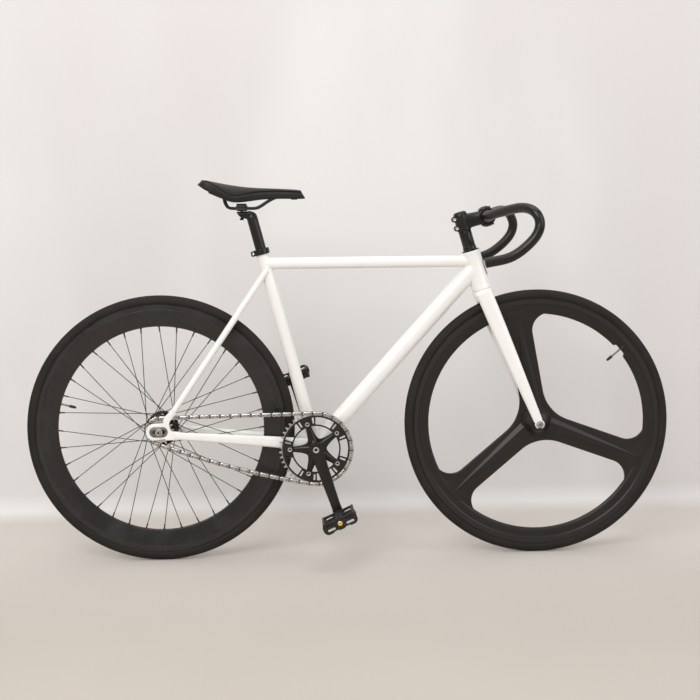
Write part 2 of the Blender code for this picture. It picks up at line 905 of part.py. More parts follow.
def clamp_place():
    """The middle of the saddle rails between the clamp's two jaws."""
    top = post_top()
    return Vector((top.x - clamp_setback, 0, top.z + clamp_above_post))


def rail_path():
    """The saddle rail: one wire, up into the tail on both sides and round inside the nose."""
    middle = clamp_place()
    half = [
        Vector((-rail_rear_reach, rail_spread * 1.35, rail_rear_rise)),
        Vector((-rail_rear_reach * 0.87, rail_spread * 1.10, rail_rear_rise * 0.30)),
        Vector((-rail_flat_rear, rail_spread, 0)),
        Vector((rail_flat_front, rail_spread, 0)),
        Vector((rail_front_reach * 0.55, rail_spread * 0.78, rail_front_rise * 0.58)),
        Vector((rail_front_reach * 0.82, rail_nose_spread, rail_front_rise)),
        Vector((rail_front_reach, rail_nose_spread * 0.6, rail_front_rise)),
    ]
    left = [middle + p for p in half]
    right = [Vector((p.x, -p.y, p.z)) for p in left]
    return smooth_path(left + right[::-1], 2)


def make_seat(body):
    top = post_top()
    bottom = top - seatpost_length * seat_axis
    post = rod(bottom, top, seatpost_radius, turn=pi / round_facets)
    head_points = [(top.x + x, top.z + z) for x, z in post_head_side]
    head = plate(head_points, [], -post_head_half_width, post_head_half_width)
    clamp = clamp_place()
    bolt_line = clamp - Vector((clamp_bolt_behind, 0, 0))
    bolt_axis = Vector((0, 0, 1))
    bolt_low = top.z - clamp_bolt_below_top
    bolt_high = clamp.z + clamp_bolt_above

    def bolt_hole(radius):
        start = Vector((bolt_line.x, 0, bolt_low - 0.010))
        return rod(start, start + bolt_axis * 0.080, radius, facets=small_facets)

    hole = bolt_hole(clamp_bolt_radius + running_gap)
    post_and_head = combined(post, [head], [hole])
    piece("seatpost", post_and_head, "black_alloy", body)

    rails = rail_path()
    groove = swept(rails, [rail_radius + seat_gap] * len(rails), wire_facets)
    wire = swept(rails, [rail_radius] * len(rails), wire_facets)
    piece("saddle_rails", wire, "black_alloy", body)
    lower_top = clamp.z - seat_gap
    jaw_low = plate([
        (clamp.x - clamp_length / 2, lower_top), (clamp.x - clamp_length * 0.36, clamp.z - lower_jaw_depth),
        (clamp.x + clamp_length * 0.36, clamp.z - lower_jaw_depth), (clamp.x + clamp_length / 2, lower_top),
    ], [], -clamp_half_width, clamp_half_width)
    jaw_high = plate([
        (clamp.x - clamp_length / 2, clamp.z + seat_gap),
        (clamp.x + clamp_length / 2, clamp.z + seat_gap),
        (clamp.x + clamp_length * 0.42, clamp.z + upper_jaw_height),
        (clamp.x - clamp_length * 0.42, clamp.z + upper_jaw_height),
    ], [], -clamp_half_width, clamp_half_width)
    piece("saddle_clamp_lower", combined(jaw_low, cut=[groove, hole]), "black_alloy", body)
    piece("saddle_clamp_upper", combined(jaw_high, cut=[groove, hole]), "black_alloy", body)
    nut_low = clamp.z + upper_jaw_height + seat_gap
    bolt = turned(Vector((bolt_line.x, 0, 0)), bolt_axis, [
        (bolt_low, 0), (bolt_low, clamp_bolt_head_radius), (bolt_low + clamp_bolt_head, clamp_bolt_head_radius),
        (bolt_low + clamp_bolt_head, clamp_bolt_radius), (nut_low, clamp_bolt_radius),
        (nut_low, clamp_nut_radius), (bolt_high, clamp_nut_radius), (bolt_high, 0),
    ], small_facets)
    piece("saddle_clamp_bolt", bolt, "steel", body)
    make_saddle(body, clamp)


# Saddle stations from the tail: shares of the length, of the half width, of the height for the
# top and the skirt, and how far the skirt tucks in. Heights are above the rails.
saddle_stations = [
    (0.000, 0.471, 0.863, 0.806, 0.90),
    (0.020, 0.800, 0.993, 0.748, 0.96),
    (0.080, 0.979, 1.000, 0.604, 1.00),
    (0.170, 1.000, 0.935, 0.460, 0.98),
    (0.270, 0.857, 0.863, 0.259, 0.92),
    (0.360, 0.643, 0.806, 0.209, 0.88),
    (0.470, 0.443, 0.748, 0.245, 0.88),
    (0.600, 0.350, 0.712, 0.309, 0.90),
    (0.750, 0.307, 0.683, 0.338, 0.92),
    (0.900, 0.271, 0.647, 0.331, 0.92),
    (0.970, 0.236, 0.612, 0.338, 0.90),
    (1.000, 0.143, 0.504, 0.374, 0.85),
]


def make_saddle(body, clamp):
    rings = []
    tail_x = clamp.x - saddle_behind_clamp
    for share, half_share, top_share, skirt_share, tuck in saddle_stations:
        x = tail_x + saddle_length * share
        half = saddle_half_width * half_share
        top, skirt = saddle_height * top_share, saddle_height * skirt_share
        shell = min(saddle_shell, (top - skirt) * 0.45)
        side = top - (top - skirt) * 0.30
        outer = [
            (half * tuck, skirt), (half, side - (side - skirt) * 0.25),
            (half * 0.93, side + (top - side) * 0.45),
            (half * 0.62, top - (top - side) * 0.16), (0, top),
        ]
        inner = [
            (half * tuck * 0.86, skirt + saddle_shell * 0.04), (half * 0.55, top - shell * 1.25),
            (0, top - shell),
        ]
        ring = [(y, z) for y, z in outer] + [(-y, z) for y, z in outer[-2::-1]]
        ring += [(-y, z) for y, z in inner[:-1]] + [(0, inner[-1][1])] + [(y, z) for y, z in inner[-2::-1]]
        rings.append([Vector((x, y, clamp.z + z)) for y, z in ring])
    piece("saddle", loft(rings), "saddle_cover", body)


def make_seat_collar(body):
    """The band round the seat tube's mouth, with ears and a bolt behind."""
    low = -collar_height
    inner = seat_tube_radius + seat_gap
    band = tube_ring(seat_top, seat_axis, inner + collar_wall, inner, low, 0, turn=pi / round_facets)
    rear = seat_axis.cross(along_y) * -1
    if rear.x > 0:
        rear = -rear
    middle = seat_top + seat_axis * (low / 2)
    ear_reach = inner + collar_wall + collar_ear_reach
    ear = block(middle + rear * (inner + 0.0010 + ear_reach) / 2, rear, seat_axis,
                ear_reach - inner - 0.0010, collar_ear_width, collar_height * 0.86)
    slit = block(middle + rear * ear_reach / 2, rear, seat_axis, ear_reach * 1.2, collar_slit, 0.030)
    bolt_centre = middle + rear * (inner + collar_wall + collar_ear_reach * 0.52)
    bolt_half = collar_ear_width / 2
    hole = rod(bolt_centre - along_y * 0.020, bolt_centre + along_y * 0.020,
               collar_bolt_radius + running_gap, facets=small_facets)
    piece("seat_collar", combined(band, [ear], [slit, hole]), "black_alloy", body)
    bolt = turned(bolt_centre, along_y, [
        (-bolt_half - seat_gap - 0.0030, 0), (-bolt_half - seat_gap - 0.0030, collar_bolt_head_radius),
        (-bolt_half - seat_gap, collar_bolt_head_radius), (-bolt_half - seat_gap, collar_bolt_radius),
        (bolt_half + 0.0010, collar_bolt_radius), (bolt_half + 0.0010, 0),
    ], small_facets)
    piece("seat_collar_bolt", bolt, "steel", body)


# Steering: fork, headset, stem and bar

def blade_ring(centre, run, half_depth, half_width):
    forward = along_y.cross(run).normalized()
    if forward.x < 0:
        forward = -forward
    return oval(centre, forward * half_depth, along_y * half_width, 2.5, 12)


def make_fork(body):
    steerer_top = crown_seat + (head_tube_length + cover_height + spacer_height + stem_clamp_height) * head_axis
    steerer = rod(crown_seat - 0.010 * head_axis, steerer_top, steerer_radius, facets=steerer_facets)
    crown_low = crown_seat - crown_height * head_axis
    crown = loft([
        oval(crown_seat, head_front * head_tube_bottom_radius, along_y * head_tube_bottom_radius, 2.0,
             head_facets),
        oval(crown_seat - crown_height * 0.45 * head_axis,
             head_front * (head_tube_bottom_radius - 0.0005), along_y * (blade_offset_top + 0.004), 2.2,
             head_facets),
        oval(crown_low, head_front * (blade_depth_top / 2 + 0.0020),
             along_y * (blade_offset_top + blade_width_top / 2 - 0.0004), 2.8, head_facets),
    ])
    top = crown_low + 0.012 * head_axis + along_y * blade_offset_top
    tip = front_axle + along_y * fork_end_centre_y
    run = tip - top
    blade = loft([
        blade_ring(top, run, blade_depth_top / 2, blade_width_top / 2),
        blade_ring(top + 0.25 * run, run, blade_depth_top / 2 * 0.96, blade_width_top / 2),
        blade_ring(top + 0.70 * run, run, (blade_depth_top * 0.35 + blade_depth_tip * 0.65) / 2,
                   blade_width_top / 2 * 0.78),
        blade_ring(top + 0.975 * run, run, blade_depth_tip / 2 * 0.95, fork_end_thickness / 2 * 1.15),
    ])
    end = rod(tip - along_y * fork_end_thickness / 2, tip + along_y * fork_end_thickness / 2,
              fork_end_radius, facets=fork_end_facets, turn=pi / fork_end_facets)
    slot_run = Vector((cos(head_angle) * 0.2, 0, -1)).normalized()
    slot = block(tip + slot_run * 0.012, slot_run, Vector((1, 0, 0)) - slot_run * slot_run.x,
                 0.024, 0.020, 2 * (front_axle_radius + running_gap))
    slot_round = rod(tip - along_y * 0.010, tip + along_y * 0.010, front_axle_radius + running_gap,
                     facets=small_facets)
    left = [blade, end]
    cut = [slot, slot_round]
    between_blades = 2 * blade_offset_top - blade_width_top + 0.004
    throat = block(crown_low - 0.008 * head_axis, head_front, head_axis, 0.080, between_blades, 0.018)
    fork = combined(crown, [steerer] + left + [mirrored(m) for m in left],
                    cut + [mirrored(m) for m in cut] + [throat])
    piece("fork", fork, "white_paint", body)


def make_headset(frame_body, body):
    outer = head_tube_top_radius - head_tube_wall - seat_gap
    inner = steerer_radius + seat_gap
    running = clear_radius(steerer_radius, running_gap, steerer_facets)
    deep = bearing_depth + bearing_height
    lower = tube_ring(head_bottom, head_axis, outer, running, bearing_depth, deep, steerer_facets)
    upper = tube_ring(head_top, head_axis, outer, running, -deep, -bearing_depth, steerer_facets)
    piece("headset_bearing_lower", lower, "steel", frame_body)
    piece("headset_bearing_upper", upper, "steel", frame_body)
    low = head_top + running_gap * head_axis
    cover = turned(low, head_axis, [
        (0, inner), (0, cover_base_radius), (0.0022, cover_base_radius), (0.0042, cover_top_radius),
        (cover_height - seat_gap, cover_top_radius - 0.0010), (cover_height - seat_gap, inner),
    ], steerer_facets)
    piece("headset_cover", cover, "black_alloy", body)
    spacer_low = low + cover_height * head_axis
    spacer = tube_ring(spacer_low, head_axis, inner + spacer_wall, inner,
                       0, spacer_height - seat_gap, steerer_facets)
    piece("steerer_spacer", spacer, "black_alloy", body)


def stem_low():
    return head_top + (running_gap + cover_height + spacer_height) * head_axis


def bar_centre():
    middle = stem_low() + stem_clamp_height / 2 * head_axis
    return middle + stem_reach * Vector((cos(stem_rise), 0, sin(stem_rise)))


stem_lug_length = 0.0140
stem_lug_width = 0.0160
stem_slit = 0.0018
stem_bolt_radius = 0.0025
faceplate_ahead = 0.0030


def make_stem(body):
    low = stem_low()
    middle = low + stem_clamp_height / 2 * head_axis
    centre = bar_centre()
    reach = Vector((cos(stem_rise), 0, sin(stem_rise)))
    lift = Vector((-sin(stem_rise), 0, cos(stem_rise)))
    clamp = turned(low, head_axis, [
        (0, 0), (0, stem_clamp_radius), (stem_clamp_height, stem_clamp_radius), (stem_clamp_height, 0),
    ], turn=pi / round_facets)
    rear = -head_front
    lug = block(middle + rear * stem_clamp_radius, rear, head_axis,
                stem_lug_length, stem_lug_width, stem_clamp_height * 0.92)
    arm = loft([
        oval(middle, along_y * stem_body_half_width, lift * (stem_body_half_height + 0.002), 3.0, 8),
        oval(centre, along_y * (stem_body_half_width + 0.002), lift * stem_body_half_height, 3.0, 8),
    ])
    ring = rod(centre - along_y * bar_ring_length / 2, centre + along_y * bar_ring_length / 2,
               bar_ring_radius, turn=pi / round_facets)
    bar_bore = rod(centre - along_y * 0.05, centre + along_y * 0.05, clear_radius(bar_clamp_radius, seat_gap))
    steerer_bore = rod(low - 0.01 * head_axis, low + 0.08 * head_axis, steerer_radius + seat_gap,
                       facets=steerer_facets)
    ahead = block(centre + reach * (0.030 + faceplate_ahead), reach, lift, 0.060, 0.070, 0.070)
    slit = block(middle + rear * 0.024, rear, head_axis, 0.030, stem_slit, 0.070)
    bolt_at = [middle + rear * (stem_clamp_radius + 0.0015) + head_axis * side * stem_clamp_height * 0.27
               for side in (1, -1)]
    holes = [rod(b - along_y * 0.015, b + along_y * 0.015, stem_bolt_radius + seat_gap, facets=small_facets)
             for b in bolt_at]
    stem = combined(clamp, [arm, ring, lug], [bar_bore, steerer_bore, ahead, slit] + holes)
    piece("stem", stem, "black_alloy", body)
    ears = [
        block(centre + reach * 0.0080 + lift * side * (bar_ring_radius + 0.0005), reach, lift,
              0.0090, bar_ring_length * 0.98, 0.0085)
        for side in (1, -1)
    ]
    front = block(centre + reach * (0.030 + faceplate_ahead + seat_gap), reach, lift, 0.060, 0.070, 0.070)
    ring_again = rod(centre - along_y * bar_ring_length / 2, centre + along_y * bar_ring_length / 2,
                     bar_ring_radius, turn=pi / round_facets)
    bore_again = rod(centre - along_y * 0.05, centre + along_y * 0.05, clear_radius(bar_clamp_radius, seat_gap))
    faceplate = combined(ring_again, ears, [bore_again], [front])
    piece("stem_faceplate", faceplate, "black_alloy", body)
    head_face = -stem_lug_width / 2 - seat_gap
    for name, place in zip(("stem_bolt_upper", "stem_bolt_lower"), bolt_at):
        bolt = turned(place, along_y, [
            (head_face - bolt_head_height, 0), (head_face - bolt_head_height, bolt_head_radius),
            (head_face, bolt_head_radius), (head_face, stem_bolt_radius),
            (0.0090, stem_bolt_radius), (0.0090, 0),
        ], small_facets)
        piece(name, bolt, "steel", body)
    cap = turned(low + (stem_clamp_height + seat_gap) * head_axis, head_axis, [
        (0, 0), (0, stem_clamp_radius - 0.0020), (top_cap_height * 0.6, stem_clamp_radius - 0.0025),
        (top_cap_height, stem_clamp_radius - 0.0060), (top_cap_height, 0),
    ], cap_facets)
    piece("stem_top_cap", cap, "black_alloy", body)


# The bar's centre line on the left, from the clamp: shares of the reach forward, of half the
# width outward, and of the drop upward.
bar_shape = [
    (0.000, 0.000, 0.000),
    (0.000, 0.160, 0.000),
    (0.022, 0.250, 0.007),
    (0.193, 0.430, 0.067),
    (0.629, 0.770, 0.161),
    (0.893, 0.960, 0.054),
    (1.000, 1.000, -0.214),
    (0.832, 1.000, -0.527),
    (0.335, 1.000, -0.866),
    (-0.305, 1.000, -1.000),
]


def make_bar(body):
    centre = bar_centre()
    left = [centre + Vector((ahead * bar_reach, out * bar_half_width, up * bar_drop))
            for ahead, out, up in bar_shape]
    right = [Vector((p.x, -p.y, p.z)) for p in left[1:]]
    path = smooth_path(right[::-1] + left, 2)
    radii = []
    for point in path:
        past_clamp = max(abs(point.y) - bar_clamp_length / 2, 0) / bar_taper_length
        radii.append(bar_clamp_radius + (bar_radius - bar_clamp_radius) * min(past_clamp, 1))
    bar = swept(path, radii)
    bores = []
    for end, before in ((path[0], path[1]), (path[-1], path[-2])):
        inward = (before - end).normalized()
        bores.append(rod(end - 0.010 * inward, end + bar_plug_depth * inward,
                         bar_radius - bar_wall, facets=small_facets))
        plug = turned(end, -inward, [
            (-bar_plug_depth + 0.001, 0), (-bar_plug_depth + 0.001, bar_radius - bar_wall - seat_gap),
            (seat_gap, bar_radius - bar_wall - seat_gap), (seat_gap, bar_radius - 0.0005),
            (bar_plug_flange, bar_radius - 0.0020), (bar_plug_flange, 0),
        ], small_facets)
        side = "left" if end.y > 0 else "right"
        piece("bar_end_plug_" + side, plug, "black_plastic", body)
    piece("handlebar", combined(bar, cut=bores), "black_alloy", body)


def make_front_axle(body):
    end_y = fork_end_centre_y + fork_end_thickness / 2
    nut_y = end_y + seat_gap
    axle_end = nut_y + washer_thickness + axle_nut_height + front_axle_beyond_nut
    cone_in = cast_hub_half_width + running_gap
    cone_out = front_hub_width / 2
    half = [
        (axle_end, 0), (axle_end, front_axle_radius), (cone_out, front_axle_radius),
        (cone_out, cone_radius), (cone_in, cone_radius), (cone_in, front_axle_radius),
    ]
    profile = [(-y, r) for y, r in half] + half[::-1]
    piece("front_axle", turned(front_axle, along_y, profile, small_facets), "steel", body)
    nut = axle_nut(front_axle, nut_y, front_axle_radius)
    piece("front_axle_nut_left", nut, "steel", body)
    piece("front_axle_nut_right", mirrored(nut), "steel", body)


# Wheels

def rim_profile(depth, inner_width):
    """A rim's section as (Y, radius): a sloping tyre bed, a brake track and a tapering foot."""
    half = rim_width / 2
    outer = rim_outer_radius
    well = outer - rim_well_depth
    inner = outer - depth
    return [
        (rim_well_half, well), (half, outer), (half, outer - brake_track), (inner_width / 2, inner),
        (-inner_width / 2, inner), (-half, outer - brake_track), (-half, outer), (-rim_well_half, well),
    ]


def make_tyre(name, centre, body):
    """The tyre, with its foot down in the rim's bed."""
    half = tyre_width / 2
    height = wheel_radius - rim_outer_radius
    well = rim_outer_radius - rim_well_depth
    side = [
        (rim_well_half - seat_gap, well + seat_gap),
        (half, rim_outer_radius + 2 * seat_gap + (half - rim_width / 2)),
        (half * 0.80, rim_outer_radius + height * 0.66),
    ]
    profile = side + [(0, wheel_radius)] + [(-y, r) for y, r in side[::-1]]
    piece(name, turned(centre, along_y, profile, wheel_facets), "tyre_rubber", body)


def valve(centre, angle, base_radius):
    direction = Vector((cos(angle), 0, sin(angle)))
    start = centre + direction * (base_radius - seat_gap)
    stem = valve_length * 0.55
    return turned(start, -direction, [
        (0, 0), (0, valve_radius * 0.8), (stem, valve_radius * 0.8), (stem, valve_radius),
        (valve_length, valve_radius * 0.7), (valve_length, 0),
    ], tiny_facets)


def make_rear_wheel(body):
    rim = turned(rear_axle, along_y, rim_profile(rear_rim_depth, rear_rim_inner_width), wheel_facets)
    piece("rear_rim", rim, "black_alloy", body)
    make_tyre("rear_tyre", rear_axle, body)
    rim_inner = rim_outer_radius - rear_rim_depth
    # The valve stands midway between two spokes, on a flat of the faceted rim.
    flat_radius = rim_inner * cos(pi / wheel_facets)
    valve_angle = 2 * pi * (rear_valve_after_spoke + 0.5) / spoke_count
    piece("rear_valve", valve(rear_axle, valve_angle, flat_radius), "steel", body)
    make_rear_hub(body, rim_inner)


def make_rear_hub(body, spoke_end_radius):
    right = -flange_offset_right
    left = flange_offset_left
    half = flange_thickness / 2
    thread_start = -chain_line + tooth_thickness / 2 + seat_gap
    profile = [
        (-hub_shell_end, 0), (-hub_shell_end, thread_radius), (thread_start, thread_radius),
        (right - half, thread_radius + 0.0040), (right - half, flange_radius), (right + half, flange_radius),
        (right + half + 0.0060, hub_barrel_radius), (left - half - 0.0060, hub_barrel_radius),
        (left - half, flange_radius), (left + half, flange_radius), (left + half, thread_radius + 0.0040),
        (hub_shell_end, thread_radius), (hub_shell_end, 0),
    ]
    shell = turned(rear_axle, along_y, profile, hub_facets)
    spokes = []
    per_side = spoke_count // 2
    step = 2 * pi / per_side
    for side, flange in ((-1, right), (1, left)):
        for k in range(per_side):
            rim_angle = step * k + (step / 2 if side > 0 else 0)
            lead = 1 if k % 2 == 0 else -1
            hub_angle = rim_angle + lead * spoke_crossings * step
            elbow = flange + side * lead * spoke_elbow
            start = rear_axle + Vector((
                spoke_hole_radius * cos(hub_angle), elbow, spoke_hole_radius * sin(hub_angle),
            ))
            reach = spoke_end_radius - seat_gap - spoke_radius / 4
            end = rear_axle + Vector((reach * cos(rim_angle), side * spoke_rim_offset, reach * sin(rim_angle)))
            spokes.append(rod(start, end, spoke_radius, facets=spoke_facets))
    through = along_y * rear_hub_width
    bore = rod(rear_axle - through, rear_axle + through,
               clear_radius(rear_axle_radius, running_gap, small_facets), facets=small_facets)
    holes = []
    for k in range(flange_holes):
        angle = 2 * pi * (k + 0.5) / flange_holes
        centre = rear_axle + flange_hole_circle * Vector((cos(angle), 0, sin(angle)))
        holes.append(rod(centre - through, centre + through, flange_hole_radius, facets=tiny_facets))
    hub = combined(shell, [joined(spokes)], [bore, joined(holes)])
    piece("rear_hub_and_spokes", hub, "spoke_black", body)


def sprocket_outline(centre, teeth, turn):
    """The toothed edge: a flat-bottomed seat for each roller and a pointed tooth between seats."""
    pitch_radius = ring_pitch_radius(teeth)
    root = pitch_radius - plate_half_height - running_gap
    step = 2 * pi / teeth
    points = []
    for k in range(teeth):
        angle = turn + k * step
        lean = atan2(tooth_seat_width / 2, root)
        for radius, bearing in ((root, angle - lean), (root, angle + lean),
                                (pitch_radius + tooth_height, angle + step / 2)):
            points.append((centre[0] + radius * cos(bearing), centre[1] + radius * sin(bearing)))
    return points


def ring_sector(centre, inner, outer, start, end, steps):
    """A window between two radii and two angles."""
    return arc(centre, outer, start, end, steps) + arc(centre, inner, end, start, steps)


ring_window_half = radians(17)
ring_slot_from_bolt = radians(13.5)
ring_slot_half = radians(1.6)


def make_chainring(body, seat_turn):
    centre = (bottom_bracket.x, bottom_bracket.z)
    outline = sprocket_outline(centre, ring_teeth, seat_turn)
    root = ring_pitch_radius(ring_teeth) - roller_radius
    windows = [circle(centre, ring_inner_radius, ring_facets)]
    window_in = ring_inner_radius + ring_inner_band
    window_out = root - ring_outer_band
    for k in range(5):
        bolt_angle = crank_angle + pi / 5 + 2 * pi * k / 5
        middle = bolt_angle + pi / 5
        windows.append(ring_sector(centre, window_in, window_out,
                                   middle - ring_window_half, middle + ring_window_half, 3))
        for side in (-1, 1):
            slot = bolt_angle + side * ring_slot_from_bolt
            windows.append(ring_sector(centre, window_in, window_out,
                                       slot - ring_slot_half, slot + ring_slot_half, 1))
        place = (centre[0] + bolt_circle_radius * cos(bolt_angle),
                 centre[1] + bolt_circle_radius * sin(bolt_angle))
        # The bolt's hole opens inwards only as far as the ring's inner band.
        windows.append(circle(place, ring_bolt_stem_radius + running_gap, tiny_facets))
    low = -chain_line - tooth_thickness / 2
    piece("chainring", plate(outline, windows, low, low + tooth_thickness), "black_alloy", body)


def make_cog(body, seat_turn):
    centre = (rear_axle.x, rear_axle.z)
    outline = sprocket_outline(centre, cog_teeth, seat_turn)
    bore = circle(centre, thread_radius + seat_gap, hub_facets)
    low = -chain_line - tooth_thickness / 2
    piece("cog", plate(outline, [bore], low, low + tooth_thickness), "steel", body)
    lock_y = low - seat_gap
    lockring = tube_ring(rear_axle, along_y, lockring_radius, thread_radius + seat_gap,
                         lock_y - lockring_width, lock_y, hub_facets)
    piece("cog_lockring", lockring, "steel", body)


def make_chain(body, pins):
    """The whole chain as one skin: two runs of waisted plates, joined by a roller at each pin."""
    count = len(pins)
    verts, faces = [], []
    inner_low = inner_plate_gap / 2
    inner_high = inner_low + inner_plate_thickness
    outer_high = inner_high + outer_plate_thickness

    def put(x, y, z):
        verts.append((x, -chain_line + y, z))
        return len(verts) - 1

    rows = []
    for k in range(count):
        here, ahead, behind = pins[k], pins[(k + 1) % count], pins[k - 1]
        tangent = (ahead - behind).normalized()
        normal = Vector((-tangent.y, tangent.x))
        outer_link = k % 2 == 0
        link = (ahead - here).normalized()
        link_normal = Vector((-link.y, link.x))
        waist = (here + ahead) / 2
        pin_row, waist_row, roller = {}, {}, {}
        for side in (-1, 1):
            high = outer_high if outer_link else inner_high
            for edge, sign in (("top", 1), ("bottom", -1)):
                at = here + normal * plate_half_height * sign
                mid = waist + link_normal * waist_half_height * sign
                pin_row[side, edge] = (put(at.x, side * inner_low, at.y), put(at.x, side * outer_high, at.y))
                waist_row[side, edge] = put(mid.x, side * high, mid.y)
            back, front = here - roller_radius * tangent, here + roller_radius * tangent
            roller[side] = (put(back.x, side * inner_low, back.y), put(front.x, side * inner_low, front.y))
        rows.append((pin_row, waist_row, roller))
    for k in range(count):
        pin_row, waist_row, roller = rows[k]
        next_pin, _, next_roller = rows[(k + 1) % count]
        for side in (-1, 1):
            for edge in ("top", "bottom"):
                a, waist, b = pin_row[side, edge], waist_row[side, edge], next_pin[side, edge]
                faces += [[a[0], a[1], waist], [a[0], waist, b[0]], [b[0], waist, b[1]]]
            high, low = waist_row[side, "top"], waist_row[side, "bottom"]
            for end in (pin_row, next_pin):
                faces.append([end[side, "top"][1], end[side, "bottom"][1], low, high])
            faces.append([
                pin_row[side, "top"][0], roller[side][1], pin_row[side, "bottom"][0],
                next_pin[side, "bottom"][0], next_roller[side][0], next_pin[side, "top"][0],
            ])
        for end in (0, 1):
            for edge in ("top", "bottom"):
                corners = [pin_row[-1, edge][0], roller[-1][end], roller[1][end], pin_row[1, edge][0]]
                faces.append(corners)
    piece("chain", closed_mesh(verts, faces), "chain_steel", body)


# Front wheel: one casting with a deep rim and three broad spokes

def window_outline(centre, middle_angle):
    """One of the three openings: a rim arc, two spoke edges and rounded corners."""
    rim_edge = rim_outer_radius - cast_rim_depth + cast_window_overlap
    half = cast_spoke_half_width
    fillet = cast_window_rim_fillet
    hub_fillet = cast_window_hub_fillet
    wedge = pi / 3
    # In a frame turned so that the opening's middle lies along +X, the upper spoke's edge
    # is the line at distance half below the spoke's own centre line.
    points = []
    edge_out = Vector((sin(wedge), -cos(wedge)))
    along = Vector((cos(wedge), sin(wedge)))
    # Rim corner: a circle that touches the spoke's edge and the rim arc
    off = half + fillet
    reach = sqrt((rim_edge - fillet) ** 2 - off ** 2)
    corner = along * reach + edge_out * off
    corner_angle = atan2(corner.y, corner.x)
    touch_angle = atan2(-edge_out.y, -edge_out.x)
    points += arc((corner.x, corner.y), fillet, corner_angle, touch_angle, 4)
    # Hub corner: a circle on the opening's middle line that touches both spokes' edges
    hub_x = (half + hub_fillet) / sin(wedge)
    start = touch_angle
    end = 2 * pi - touch_angle
    points += arc((hub_x, 0), hub_fillet, start, end, 6)
    points += [(x, -y) for x, y in points[:5][::-1]]
    rim_arc = arc((0, 0), rim_edge, -corner_angle, corner_angle, 6)[1:-1]
    points += rim_arc
    turned_points = []
    for x, y in points:
        turned_points.append((
            centre.x + x * cos(middle_angle) - y * sin(middle_angle),
            centre.z + x * sin(middle_angle) + y * cos(middle_angle),
        ))
    return turned_points


def make_front_wheel(body):
    centre = (front_axle.x, front_axle.z)
    disc_radius = rim_outer_radius - rim_well_depth - cast_disc_inside_bed
    outline = circle(centre, disc_radius, wheel_facets)
    windows = [
        window_outline(front_axle, -cast_spoke_angle + pi / 3 + 2 * pi * k / 3)
        for k in range(3)
    ]
    half = cast_spoke_thickness / 2
    disc = plate(outline, windows, -half, half)
    inner = rim_outer_radius - cast_rim_depth
    rim = turned(front_axle, along_y, rim_profile(cast_rim_depth, cast_spoke_thickness * 1.2), wheel_facets)
    ridges = []
    for k in range(3):
        angle = -cast_spoke_angle + 2 * pi * k / 3
        out = Vector((cos(angle), 0, sin(angle)))
        flat = Vector((-sin(angle), 0, cos(angle)))
        root = front_axle + out * cast_ridge_root
        tip = front_axle + out * (inner + cast_ridge_into_rim)
        high = cast_ridge_thickness / 2
        rings = []
        ends = (
            (root, cast_ridge_half_width, high),
            (tip, cast_ridge_tip_half_width, half + cast_ridge_tip_rise),
        )
        for at, half_width, rise in ends:
            rings.append([
                at + flat * half_width, at + along_y * rise,
                at - flat * half_width, at - along_y * rise,
            ])
        ridges.append(loft(rings))
    hub = turned(front_axle, along_y, [
        (-cast_hub_half_width, 0), (-cast_hub_half_width, cast_hub_end_radius),
        (-cast_hub_flat_half, cast_hub_radius), (cast_hub_flat_half, cast_hub_radius),
        (cast_hub_half_width, cast_hub_end_radius), (cast_hub_half_width, 0),
    ], cast_hub_facets, pi / cast_hub_facets)
    through = along_y * front_hub_width
    bore = rod(front_axle - through, front_axle + through,
               clear_radius(front_axle_radius, running_gap, small_facets), facets=small_facets)
    wheel = combined(disc, [rim, hub] + ridges, [bore])
    piece("front_wheel", wheel, "cast_black", body)
    make_tyre("front_tyre", front_axle, body)
    # The valve stands where two facets of the rim meet, so its edges are nearest to the rim.
    corner_radius = inner - valve_radius * sin(pi / wheel_facets)
    piece("front_valve", valve(front_axle, front_valve_angle, corner_radius), "steel", body)


# Bottom bracket, cranks and pedals

def make_bottom_bracket(frame_body, body):
    half = shell_length / 2
    bore = shell_bore - seat_gap
    running = clear_radius(spindle_radius, running_gap, spindle_facets)
    face = half + seat_gap
    for side, name in ((-1, "bottom_bracket_cup_right"), (1, "bottom_bracket_cup_left")):
        profile = [
            (half - cup_depth, bore), (face, bore), (face, cup_flange_radius),
            (face + cup_flange_width, cup_flange_radius - cup_flange_bevel),
            (face + cup_flange_width, running), (half - cup_depth, running),
        ]
        cup = turned(bottom_bracket, along_y * side, profile, spindle_facets)
        piece(name, cup, "steel", frame_body)
    reach = crank_boss_inner + 0.018
    spindle = rod(bottom_bracket - along_y * reach, bottom_bracket + along_y * reach,
                  spindle_radius, facets=spindle_facets)
    piece("crank_spindle", spindle, "steel", body)


